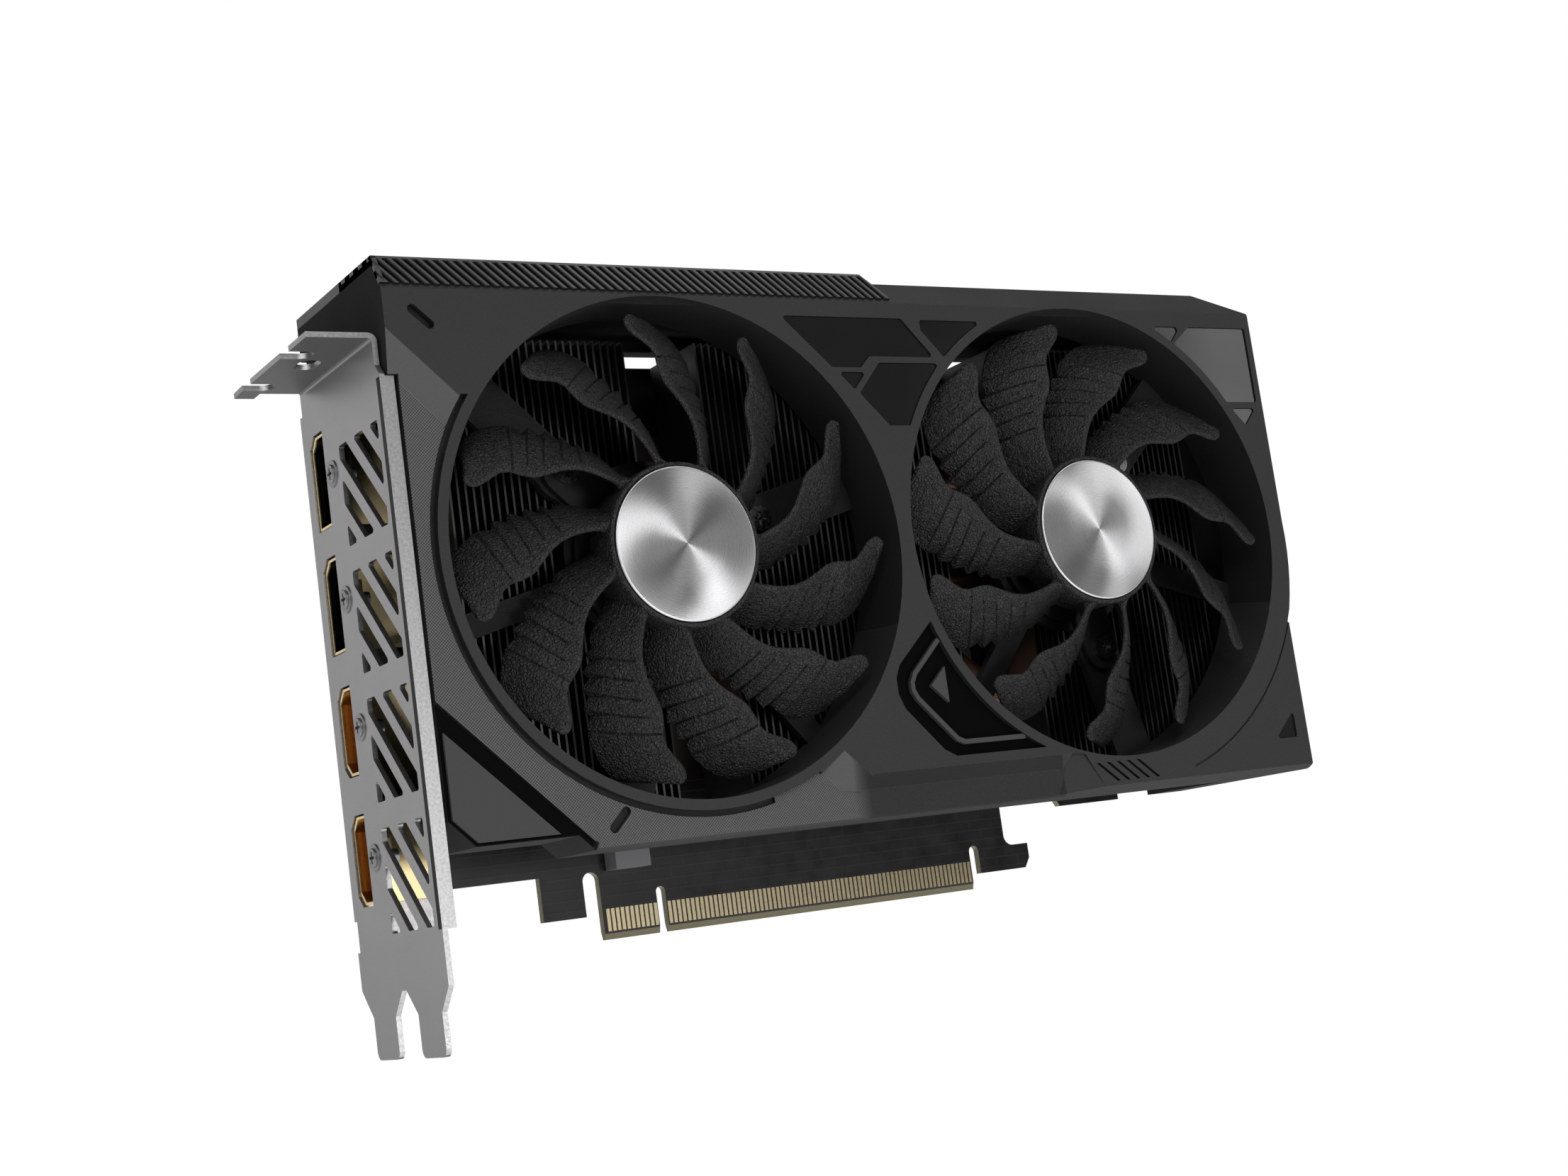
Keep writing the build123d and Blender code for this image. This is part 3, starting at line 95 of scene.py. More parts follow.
# ---------------------------------------------------------------- how a finish is built
class Finish:
    """A procedural material, built step by step on a Principled shader."""

    def __init__(self, name, colour, roughness, metallic=0.0):
        self.material = bpy.data.materials.new(name)
        self.material.use_nodes = True
        self.tree = self.material.node_tree
        self.shader = self.tree.nodes["Principled BSDF"]
        self.base = colour
        self.set("Base Color", (*colour, 1.0))
        self.set("Roughness", roughness)
        self.set("Metallic", metallic)
        self.place = self.node("TexCoord").outputs["Object"]
        self.normal = None

    def set(self, socket, value):
        self.shader.inputs[socket].default_value = value

    def node(self, kind, inputs=(), **settings):
        """A new node, with its settings, and its inputs given as values or as other nodes' outputs."""
        node = self.tree.nodes.new("ShaderNode" + kind)
        for key, value in settings.items():
            setattr(node, key, value)
        for key, value in dict(inputs).items():
            if isinstance(value, bpy.types.NodeSocket):
                self.tree.links.new(value, node.inputs[key])
            else:
                node.inputs[key].default_value = value
        return node

    def math(self, operation, a, b=0.0):
        return self.node("Math", {0: a, 1: b}, operation=operation).outputs[0]

    def above(self, value, limit):
        """1 where the value is over the limit, and 0 elsewhere."""
        return self.math("GREATER_THAN", value, limit)

    def under(self, value, limit):
        """1 where the value is below the limit, and 0 elsewhere."""
        return self.math("LESS_THAN", value, limit)

    def times(self, first, *others):
        """The product of two or more factors."""
        for other in others:
            first = self.math("MULTIPLY", first, other)
        return first

    def waves(self, axis, pitch):
        """Sine waves along an axis of the object, one to each pitch."""
        return self.math("SINE", self.times(self.part(axis), 2 * pi / pitch))

    def scaled(self, stretch=(1, 1, 1), turn=(0, 0, 0)):
        """The object's coordinates, stretched and turned."""
        made = self.node("Mapping", {"Vector": self.place, "Scale": stretch, "Rotation": turn})
        return made.outputs[0]

    def part(self, axis, vector=None):
        """One of the X, Y and Z parts of a vector, or of the place."""
        return self.node("SeparateXYZ", {"Vector": vector or self.place}).outputs[axis]

    def facing(self, axis, kind="True Normal"):
        """The part of the surface's direction along an axis."""
        return self.part(axis, self.node("NewGeometry").outputs[kind])

    def noise(self, scale, detail=3.0, rough=0.5, stretch=(1, 1, 1), turn=(0, 0, 0), where=None):
        inputs = {"Vector": where or self.scaled(stretch, turn), "Scale": scale, "Detail": detail,
                  "Roughness": rough}
        return self.node("TexNoise", inputs).outputs[0]

    def cells(self, scale, feature):
        made = self.node("TexVoronoi", {"Vector": self.place, "Scale": scale}, feature=feature)
        return made.outputs[0]

    def between(self, factor, low, high, start=0.0, end=1.0):
        """The factor's range from start to end, mapped to low to high."""
        made = self.node("MapRange", {"Value": factor, "From Min": start, "From Max": end, "To Min": low,
                                      "To Max": high})
        return made.outputs[0]

    def mix(self, factor, first, second):
        """A colour between two, each a tuple or another node's output."""
        ends = [c if isinstance(c, bpy.types.NodeSocket) else (*c[:3], 1.0) for c in (first, second)]
        made = self.node("Mix", {0: factor, 6: ends[0], 7: ends[1]}, data_type="RGBA")
        return made.outputs[2]

    def colour(self, socket):
        self.tree.links.new(socket, self.shader.inputs["Base Color"])

    def roughness(self, socket):
        self.tree.links.new(socket, self.shader.inputs["Roughness"])

    def metallic(self, socket):
        self.tree.links.new(socket, self.shader.inputs["Metallic"])

    def bump(self, height, distance):
        """Adds relief: height from 0 to 1 stands for distance in metres."""
        inputs = {"Height": height, "Distance": distance, "Strength": 1.0}
        if self.normal is not None:
            inputs["Normal"] = self.normal
        self.normal = self.node("Bump", inputs).outputs[0]
        self.tree.links.new(self.normal, self.shader.inputs["Normal"])

    def shade(self, spread, factor):
        """Varies the base colour's brightness by the spread, up and down, with the factor."""
        dark = [c * (1 - spread) for c in self.base]
        light = [c * (1 + spread) for c in self.base]
        self.colour(self.mix(factor, dark, light))


CLOUD = 35.0    # patches of broad variation per metre on plastics
CLOUD_LOW, CLOUD_HIGH = 0.3, 0.7    # the usual range of a noise texture


def speckle(finish, fine, broad):
    """Fine and broad variation added together."""
    return finish.math("ADD", finish.times(fine, 0.6), finish.times(broad, 0.4))


def moulded(name, colour, roughness, grain=0.25, depth=0.02, spread=0.12):
    """Moulded plastic with a fine grain: grain and depth are in millimetres."""
    finish = Finish(name, colour, roughness)
    fine = finish.noise(1 / (grain * MM), detail=2.0)
    broad = finish.noise(CLOUD)
    finish.shade(spread, speckle(finish, fine, broad))
    finish.roughness(finish.between(broad, roughness - 0.05, roughness + 0.05, CLOUD_LOW, CLOUD_HIGH))
    finish.bump(fine, depth * MM)
    return finish


def brushed(name, colour, roughness, stretch, depth=0.004, spread=0.08):
    """Metal with fine lines: the stretch is small along the lines and large across them."""
    finish = Finish(name, colour, roughness, 1.0)
    lines = finish.noise(1.0, detail=4.0, rough=0.7, stretch=stretch)
    cloud = finish.noise(60.0)
    finish.shade(spread, lines)
    finish.roughness(finish.between(cloud, roughness - 0.06, roughness + 0.08, CLOUD_LOW, CLOUD_HIGH))
    finish.bump(lines, depth * MM)
    return finish


def speckled_metal(name, colour, roughness, grain=0.15, depth=0.006, spread=0.08):
    """Plated or cast metal with a fine even grain."""
    finish = Finish(name, colour, roughness, 1.0)
    fine = finish.noise(1 / (grain * MM), detail=2.0)
    cloud = finish.noise(90.0)
    finish.shade(spread, cloud)
    finish.roughness(finish.between(fine, roughness - 0.07, roughness + 0.07, CLOUD_LOW, CLOUD_HIGH))
    finish.bump(fine, depth * MM)
    return finish


# ---------------------------------------------------------------- finishes with a design of their own
FACE_FLAT = 0.965    # how squarely a surface looks forwards, at least, to be a flat of the face
SIDE_FORWARD, SIDE_UPWARD, SLOPE_UPWARD = 0.5, 0.35, -0.1    # limits for side walls and the slope
SKIN_DEPTH, WEAVE_DEPTH, ZONE_DEPTH, RECESS_DEPTH = 0.02 * MM, 0.65 * MM, 0.75 * MM, 0.95 * MM
WEAVE_PITCH = 0.55 * MM
FADE_START, FADE_END = 21.5 * MM, 25 * MM    # where the woven zone ends, along X
LEDGE_START, LEDGE_END = 24 * MM, 69.5 * MM    # the dark ledge beside it, along X


def face_plastic():
    """Matte charcoal with a fine grain. The sunken zone round the left fan is lighter and woven: the lighter
    colour of its shallow sloping flats is partly their own tone and partly painted light. A dark ledge runs
    on from it, and the slopes that face downwards beside it are painted nearly black as shade. The deepest
    flats are nearly black, and the side walls and the faces turned downwards are painted nearly black as
    shade.
    """
    finish = Finish("face_plastic", (0.036, 0.036, 0.038), 0.62)
    along, upward = finish.part("X"), finish.facing("Z")
    depth = finish.math("SUBTRACT", finish.part("Y"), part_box("shroud")[0][1])
    forward = finish.times(finish.facing("Y"), -1.0)

    flat = finish.above(forward, FACE_FLAT)
    sunk = finish.times(flat, finish.above(depth, SKIN_DEPTH), finish.under(depth, ZONE_DEPTH))
    woven = finish.times(sunk, finish.above(depth, WEAVE_DEPTH))
    deep = finish.times(flat, finish.above(depth, RECESS_DEPTH))
    # Side walls and faces turned downwards: painted nearly black as shade.
    side = finish.times(finish.under(forward, SIDE_FORWARD), finish.under(upward, SIDE_UPWARD))
    far = finish.between(along, 0.0, 1.0, FADE_START, FADE_END)
    ledge = finish.times(finish.math("SUBTRACT", sunk, woven), far)
    # Slopes facing downwards beside the ledge: painted nearly black as shade.
    shaded_slope = finish.times(finish.above(along, LEDGE_START), finish.above(forward, SIDE_FORWARD),
                         finish.under(forward, FACE_FLAT), finish.under(upward, SLOPE_UPWARD))
    dim = finish.times(finish.math("MAXIMUM", ledge, shaded_slope), finish.under(along, LEDGE_END))

    weave = finish.between(finish.times(finish.waves("X", WEAVE_PITCH), finish.waves("Z", WEAVE_PITCH)),
                           0.0, 1.0, -0.4, 0.4)
    fine = finish.noise(1 / (0.35 * MM), detail=2.0)
    broad = finish.noise(CLOUD)
    speck = speckle(finish, fine, broad)
    plain_face = finish.mix(speck, (0.022, 0.022, 0.0235), (0.038, 0.038, 0.04))
    # The shallow sloping flats: lighter, partly in their own tone and partly as painted light.
    ramp = finish.mix(speck, (0.085, 0.085, 0.088), (0.12, 0.12, 0.124))
    cloth = finish.mix(weave, (0.05, 0.05, 0.051), (0.17, 0.17, 0.174))
    ramp = finish.mix(far, ramp, plain_face)
    cloth = finish.mix(far, cloth, (0.024, 0.024, 0.0245))
    zone = finish.mix(woven, finish.mix(sunk, plain_face, ramp), cloth)
    # The dark ledge, and painted shade on the downward slopes.
    face = finish.mix(dim, zone, (0.007, 0.007, 0.0073))
    # The deepest flats nearly black, and painted shade on the side walls.
    finish.colour(finish.mix(finish.math("MAXIMUM", deep, side), face, (0.006, 0.006, 0.0063)))

    rough = finish.between(broad, 0.56, 0.68, CLOUD_LOW, CLOUD_HIGH)
    finish.roughness(finish.math("ADD", rough, finish.times(side, 0.25)))
    finish.bump(fine, 0.08 * MM)
    finish.bump(finish.times(weave, woven), 0.06 * MM)
    return finish.material


def inlay_black():
    """Dull black plastic with hardly any shine."""
    finish = moulded("inlay_black", (0.002, 0.002, 0.0021), 0.55, grain=0.3, depth=0.012)
    finish.set("Specular IOR Level", 0.05)
    return finish.material


def window_plastic():
    """Smoked plastic under a clear gloss."""
    finish = moulded("window_plastic", (0.008, 0.008, 0.0085), 0.2, grain=2.0, depth=0.006, spread=0.1)
    finish.set("Coat Weight", 0.4)
    finish.set("Coat Roughness", 0.12)
    return finish.material


def blade_plastic():
    """Black plastic with a coarse leathery grain."""
    finish = Finish("blade_plastic", (0.026, 0.026, 0.027), 0.4)
    leather = finish.cells(1700.0, "DISTANCE_TO_EDGE")
    cloud = finish.noise(1300.0, detail=4.0)
    finish.shade(0.35, finish.between(cloud, 0.0, 1.0, CLOUD_LOW, CLOUD_HIGH))
    finish.roughness(finish.between(cloud, 0.32, 0.46, CLOUD_LOW, CLOUD_HIGH))
    finish.bump(finish.between(leather, 0.0, 1.0, 0.0, 0.25), 0.18 * MM)
    finish.bump(cloud, 0.42 * MM)
    return finish.material


def spun_aluminium(name, centre):
    """Aluminium turned on a lathe: fine rings round the centre, and highlights in cones."""
    finish = Finish(name, (0.86, 0.86, 0.87), 0.26, 1.0)
    across = finish.math("SUBTRACT", finish.part("X"), centre[0])
    over = finish.math("SUBTRACT", finish.part("Z"), centre[1])
    squares = finish.math("ADD", finish.times(across, across), finish.times(over, over))
    radius = finish.math("SQRT", squares)
    away = finish.node("CombineXYZ", {"X": finish.times(radius, 9000.0)}).outputs[0]
    rings = finish.noise(1.0, rough=0.7, where=away)
    finish.shade(0.08, rings)
    finish.roughness(finish.between(rings, 0.22, 0.36, CLOUD_LOW, CLOUD_HIGH))
    finish.bump(rings, 0.003 * MM)
    finish.set("Anisotropic", 0.92)
    tangent = finish.node("Tangent", direction_type="RADIAL", axis="Y")
    finish.tree.links.new(tangent.outputs[0], finish.shader.inputs["Tangent"])
    return finish.material


BARE_EDGE = 1.1 * MM    # height of the bare laminate along the edge connector


def board_lacquer():
    """Black solder mask with faint traces under it, and pale laminate at the board's cut edges."""
    finish = Finish("board_lacquer", (0.008, 0.008, 0.009), 0.36)
    bricks = {"Vector": finish.scaled(turn=(pi / 2, 0, 0)), "Scale": 160.0, "Mortar Size": 0.03,
              "Brick Width": 0.9, "Row Height": 0.32}
    traces = finish.node("TexBrick", bricks).outputs["Fac"]
    cloud = finish.noise(220.0)
    edge = finish.under(finish.math("ABSOLUTE", finish.facing("Y", "Normal")), 0.5)
    bare_and_painted_light = finish.under(finish.part("Z"), BARE_EDGE)
    mask = finish.mix(cloud, (0.006, 0.006, 0.007), (0.012, 0.012, 0.013))
    mask = finish.mix(finish.times(traces, 0.5), mask, (0.02, 0.02, 0.02))
    fibre = finish.mix(finish.noise(2600.0, stretch=(1, 4, 1)), (0.15, 0.13, 0.07), (0.27, 0.24, 0.14))
    finish.colour(finish.mix(finish.math("MAXIMUM", edge, bare_and_painted_light), mask, fibre))
    finish.roughness(finish.between(cloud, 0.3, 0.45, CLOUD_LOW, CLOUD_HIGH))
    finish.bump(traces, 0.02 * MM)
    return finish.material


BEND_WIDE = 1.55 * MM
BEND_LOW, BEND_HIGH = 5.3 * MM, 97 * MM


def bracket_metal():
    """Satin plated steel: painted light on the faces that look forwards along its flange, painted shade under
    its tab, and a painted shadow, nearly black, along the bend between.
    """
    finish = speckled_metal("bracket_steel", (0.44, 0.43, 0.43), 0.4, grain=0.2)
    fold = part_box("bracket")[0][1]
    across, up = finish.part("Y"), finish.part("Z")
    # A strip along the bend, on the faces that look to -X: painted shade, nearly black.
    shaded_bend = finish.times(finish.under(finish.facing("X"), -0.9), finish.under(across, fold + BEND_WIDE),
                        finish.above(across, fold + SKIN_DEPTH), finish.above(up, BEND_LOW),
                        finish.under(up, BEND_HIGH))
    # Faces that look forwards, along the flange, get a lighter grained copy of the metal: painted light.
    ahead = finish.under(finish.facing("Y"), -0.7)
    # Faces that look downwards, under the tab, get a darker copy of the metal: painted shade.
    below = finish.under(finish.facing("Z"), -0.7)
    grain = finish.between(finish.noise(1 / (0.5 * MM), detail=2.0), 0.0, 1.0, 0.35, 0.65)
    metal = finish.mix(finish.noise(90.0), (0.4, 0.392, 0.4), (0.46, 0.45, 0.46))
    bare_and_painted_light = finish.mix(grain, (0.56, 0.56, 0.565), (0.72, 0.72, 0.725))
    metal = finish.mix(below, metal, (0.17, 0.168, 0.17))
    finish.colour(finish.mix(shaded_bend, finish.mix(ahead, metal, bare_and_painted_light), (0.006, 0.006, 0.006)))
    return finish.material


SOCKET_RIM, SOCKET_ROOM = 0.25 * MM, 0.2 * MM


def socket_metal(name, kind, inside_colour):
    """Gold-plated steel shells, with another colour inside the walls of the sockets: a deeper orange in the
    HDMI shells, and black in the DisplayPort shells, which is painted shade.
    """
    finish = Finish(name, (0.86, 0.66, 0.34), 0.24, 1.0)
    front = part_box(f"{kind}_shells")[0][0]
    low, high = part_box(f"{kind}_tongues")
    along, across = finish.part("X"), finish.part("Y")
    cloud = finish.noise(160.0, detail=2.0)
    metal = finish.mix(cloud, (0.78, 0.6, 0.31), (0.92, 0.77, 0.46))
    inside = finish.times(finish.above(along, front + SOCKET_RIM), finish.above(across, low[1] - SOCKET_ROOM),
                          finish.under(across, high[1] + SOCKET_ROOM))
    finish.colour(finish.mix(inside, metal, inside_colour))
    finish.roughness(finish.between(cloud, 0.2, 0.32, CLOUD_LOW, CLOUD_HIGH))
    finish.bump(cloud, 0.004 * MM)
    return finish.material


SOCKET_CONTACT_PITCH = 1.1 * MM


def contact_tongue(name):
    """Black plastic tongue with gold contacts that run along its faces."""
    finish = Finish(name, (0.01, 0.01, 0.01), 0.35)
    gold = finish.above(finish.waves("Y", SOCKET_CONTACT_PITCH), 0.25)
    cloud = finish.noise(200.0, detail=2.0)
    plated = finish.mix(cloud, (0.75, 0.62, 0.36), (0.9, 0.78, 0.5))
    finish.colour(finish.mix(gold, (0.008, 0.008, 0.008), plated))
    finish.metallic(finish.times(gold, 0.3))
    finish.roughness(finish.between(cloud, 0.25, 0.4, CLOUD_LOW, CLOUD_HIGH))
    finish.bump(gold, 0.03 * MM)
    return finish.material


# ---------------------------------------------------------------- the set of finishes
# Each plastic: colour, roughness, grain and relief in millimetres, and sometimes its spread of shades
PLASTICS = {
    "trim_plastic": ((0.014, 0.014, 0.0145), 0.3, 0.3, 0.006),
    "accent_grey": ((0.06, 0.06, 0.0625), 0.6, 0.25, 0.03, 0.2),
    "black_plastic": ((0.011, 0.011, 0.0115), 0.48, 0.3, 0.02),
    "connector_grey": ((0.2, 0.2, 0.21), 0.5, 0.3, 0.015),
    "package_black": ((0.014, 0.014, 0.014), 0.5, 0.12, 0.012),
    "substrate": ((0.02, 0.07, 0.035), 0.4, 0.3, 0.01),
    "pad_grey": ((0.25, 0.28, 0.33), 0.8, 0.3, 0.02),
    "coil_grey": ((0.05, 0.05, 0.052), 0.62, 0.15, 0.03),
    "ceramic": ((0.3, 0.22, 0.14), 0.5, 0.2, 0.01),
    "backplate_metal": ((0.02, 0.02, 0.021), 0.5, 0.3, 0.02),
    "magnet": ((0.03, 0.03, 0.03), 0.7, 0.2, 0.03),
}
# Each speckled metal: colour, roughness, grain and relief in millimetres
SPECKLED = {
    "screw_steel": ((0.36, 0.36, 0.36), 0.42, 0.5, 0.003),
    "black_screw": ((0.26, 0.26, 0.265), 0.26, 0.6, 0.003),
    "copper": ((0.86, 0.46, 0.32), 0.34, 1.6, 0.003),
    # Copper darkened nearly to black, for the cold plate.
    "aged_copper": ((0.04, 0.032, 0.03), 0.42, 1.2, 0.003),
    "gold": ((0.78, 0.66, 0.42), 0.34, 0.2, 0.006),
    "die": ((0.25, 0.25, 0.28), 0.08, 1.5, 0.001),
    "bronze": ((0.5, 0.36, 0.2), 0.4, 0.2, 0.006),
}
# Each brushed metal: colour, roughness, and the stretch of its lines
BRUSHED = {
    "steel": ((0.5, 0.5, 0.51), 0.32, (900, 900, 9000)),
    "fin_aluminium": ((0.12, 0.12, 0.122), 0.42, (700, 700, 6000)),
    "capacitor_can": ((0.6, 0.6, 0.62), 0.3, (800, 6000, 800)),
}


def make_finishes():
    """Materials by slot, and by node where a node differs from its slot."""
    made = {}
    for build, rows in ((moulded, PLASTICS), (speckled_metal, SPECKLED), (brushed, BRUSHED)):
        made.update({name: build(name, *row).material for name, row in rows.items()})
    made.update({
        "shroud_plastic": face_plastic(),
        "window_plastic": window_plastic(),
        "inlay_black": inlay_black(),
        "blade_plastic": blade_plastic(),
        "bracket_steel": bracket_metal(),
        "board": board_lacquer(),
        "chip_black": made["package_black"],
        "cold_plate": made["aged_copper"],
        "socket_gold": socket_metal("socket_gold", "hdmi", (0.75, 0.36, 0.1)),
        # The black inside the DisplayPort shells is painted shade.
        "displayport_shells": socket_metal("socket_gold_painted_shade_inside", "displayport", (0.02, 0.02, 0.02)),
        "displayport_tongues": contact_tongue("displayport_contacts"),
        "hdmi_tongues": contact_tongue("hdmi_contacts"),
    })
    for side in SIDES:
        low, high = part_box(f"{side}_hub_cap")
        centre = ((low[0] + high[0]) / 2, (low[2] + high[2]) / 2)
        made[f"{side}_hub_cap"] = spun_aluminium(f"{side}_spun_aluminium", centre)
    return made


def dress(piece, material):
    piece.data.materials.clear()
    piece.data.materials.append(material)


def dress_nodes(finishes):
    for row in frame["record"]["subparts"]:
        node, slot = row["node"], row["material_slot"]
        dress(NODES[node], finishes[node if node in finishes else slot])


# ---------------------------------------------------------------- detailed pieces
def add_piece(name, data, material, body, stands_for):
    """Puts a mesh in the scene as a piece that rides on a body, and hides the CAD node that it stands in for.
    """
    made = bpy.data.objects.new(name, data)
    bpy.context.scene.collection.objects.link(made)
    data.materials.append(material)
    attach(made, body)
    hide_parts(stands_for)


def round_mesh(name, points, faces, weld=0.0):
    """A smooth closed mesh whose faces all look outwards."""
    data = bpy.data.meshes.new(name)
    data.from_pydata(points, [], faces)
    data.validate()
    data.shade_smooth()
    form = bmesh.new()
    form.from_mesh(data)
    if weld:
        bmesh.ops.remove_doubles(form, verts=form.verts, dist=weld)
    bmesh.ops.recalc_face_normals(form, faces=form.faces)
    form.to_mesh(data)
    form.free()
    return data


def curve_through(stops, x):
    """Value at x of a smooth line through (x, value) stops: cubic between them, with even slopes."""
    last = len(stops) - 2
    k = max(i for i in range(last + 1) if i == 0 or x >= stops[i][0])
    (x0, y0), (x1, y1) = stops[k], stops[k + 1]
    before, after = stops[max(k - 1, 0)], stops[min(k + 2, last + 1)]
    slope0, slope1 = (y1 - before[1]) / (x1 - before[0]), (after[1] - y0) / (after[0] - x0)
    span = x1 - x0
    u = (x - x0) / span
    return (y0 * (1 + 2 * u) * (1 - u) ** 2 + slope0 * span * u * (1 - u) ** 2
            + y1 * u * u * (3 - 2 * u) + slope1 * span * u * u * (u - 1))


# Fan blade, in millimetres and degrees. Angles are from the tip, and below 0 behind it.
# Its leading edge is given as radius and angle.
LEADING_EDGE = ((14.0, -31.0), (16.0, -29.0), (18.5, -26.6), (22.4, -22.5), (25.0, -18.6),
                (27.9, -13.0), (30.0, -9.6), (32.7, -8.2), (35.3, -7.6), (36.8, -6.0), (38.4, -3.0),
                (40.2, -0.8), (43.0, 0.6))
CHORD_STEPS = (0.0, 0.004, 0.015, 0.035, 0.06, 0.1, 0.13, 0.16, 0.19, 0.21, 0.23, 0.26, 0.32, 0.4,
               0.5, 0.6, 0.7, 0.8, 0.88, 0.93, 0.97, 0.985, 0.995, 1.0)
BLADE_COUNT = 11
BLADE_ROOT, TIP_START, BLADE_TIP = 14.4, 40.0, 42.5
ROW_STEP, TIP_STEPS = 0.9, 12
TIP_ROUND, HEEL_ROUND, THIN_END = 2.3, 3.4, 0.6
LEAD_Y, TRAIL_Y = -37.7, -29.7
BLADE_HALF, BLADE_THIN, BLADE_BOW = 0.55, 0.4, 0.75    # half thickness at each edge, and the bow
LEAD_SHARE, TRAIL_SHARE = 0.1, 0.02    # shares of the chord over which the edges are rounded
FLARE_R, FLARE_RUN, FLARE_GAIN = 15.0, 2.0, 1.4    # the blade thickens into the hub
TRAIL_FROM, TRAIL_ANGLE, TRAIL_SLOPE, TRAIL_CURVE = 16.0, -48.0, 0.88, 0.0118
ROW_SWEEP = 2.0    # how far a row draws in towards the leading edge
SWEEP_START, SWEEP_RISE, SWEEP_END, SWEEP_FALL = 18.0, 6.0, 41.5, 5.0
GROOVES = (36.4, 33.6, 30.8, 28.0, 25.2)    # radius of each groove
GROOVE_STARTS = (0.0, 0.2, 0.24, 0.22, 0.16)    # share of the chord where each groove starts
GROOVE_PROFILE = ((-0.34, 0.0), (-0.2, 0.0), (-0.1, 1.0), (0.1, 1.0), (0.2, 0.0), (0.34, 0.0))
GROOVE_DEPTH, GROOVE_CLEAR, GROOVE_FADE = 0.42, 0.5, 0.03
TOOTH, TOOTH_START, TOOTH_MARGIN = 1.7, 0.7, 2.0

# Fan hub and cap, in millimetres
FAN_SENSE = {"left": 1, "right": -1}
FAN_TIP_ANGLE = {"left": 1.0, "right": 26.2}
HUB_R, HUB_WALL, HUB_FRONT, HUB_BACK = 15.0, 1.6, -38.35, -30.2
HUB_CHAMFER, HUB_ROUND, HUB_PLATE, SHAFT_HOLE = 0.3, 0.5, 1.0, 1.6
LIP_ROUND_IN, LIP_TOP, LIP_SEAT, LIP_RISE, PLATE_BEVEL = 0.15, 0.72, 0.76, 0.32, 0.4
CAP_R, CAP_ROUND = 14.1, 0.35
CAP_DOME = ((0.0, 0.02), (0.5, 0.05), (1.0, 0.12))    # share of the rim's radius, and fall


def trailing_angle(radius):
    """Angle of the trailing edge at a radius."""
    out = radius - TRAIL_FROM
    return TRAIL_ANGLE + TRAIL_SLOPE * out + TRAIL_CURVE * out * out


def blade_rows():
    """Row radii at the trailing edge, each with its groove depth and groove number."""
    rows = {}
    radius, i = BLADE_ROOT, 0
    while radius < TIP_START:
        if all(abs(round(radius, 3) - groove) > GROOVE_CLEAR for groove in GROOVES):
            rows[round(radius, 3)] = (0.0, None)
        i += 1
        radius = BLADE_ROOT + ROW_STEP * i
    for number, groove in enumerate(GROOVES):
        rows.update({round(groove + step, 3): (depth, number) for step, depth in GROOVE_PROFILE})
    for i in range(TIP_STEPS + 1):
        share = sin(pi / 2 * i / TIP_STEPS)
        rows[round(TIP_START + (BLADE_TIP - TIP_START) * share, 3)] = (0.0, None)
    return sorted((r, *v) for r, v in rows.items())


def rounding(radius, corner):
    """How far an edge draws in, in millimetres, as the radius nears the blade's outer end."""
    into = max(0.0, radius - (BLADE_TIP - corner))
    return corner - sqrt(max(0.0, corner * corner - into * into))


def blade_point(row, chord):
    """Middle of the blade at a row and a share of the chord from the leading edge."""
    sweep = min(1.0, max(0.0, (row - SWEEP_START) / SWEEP_RISE))
    sweep *= min(1.0, max(0.0, (SWEEP_END - row) / SWEEP_FALL))
    radius = row - ROW_SWEEP * sweep * (1.0 - chord)
    lead = curve_through(LEADING_EDGE, radius) - degrees(rounding(row, TIP_ROUND) / radius)
    trail = trailing_angle(radius) + degrees(rounding(row, HEEL_ROUND) / radius)
    tooth = 0.0
    if GROOVES[-1] - TOOTH_MARGIN < row < GROOVES[0] and chord > TOOTH_START:
        pitch = GROOVES[0] - GROOVES[1]
        tooth = degrees(TOOTH / radius) * (((GROOVES[0] - row) / pitch) % 1.0)
        tooth *= (chord - TOOTH_START) / (1.0 - TOOTH_START)
    angle = radians(lead + (trail - lead) * chord + tooth)
    y = LEAD_Y + (TRAIL_Y - LEAD_Y) * chord - BLADE_BOW * sin(pi * chord)
    return Vector((radius * cos(angle), y, radius * sin(angle)))


def blade_surface(row, chord):
    """Middle of the blade at a row and chord, and the direction that its front faces there."""
    along = blade_point(row, min(1.0, chord + 0.02)) - blade_point(row, max(0.0, chord - 0.02))
    out = blade_point(row + 0.05, chord) - blade_point(row - 0.05, chord)
    normal = along.cross(out).normalized()
    if normal.y > 0:
        normal.negate()
    return blade_point(row, chord), normal


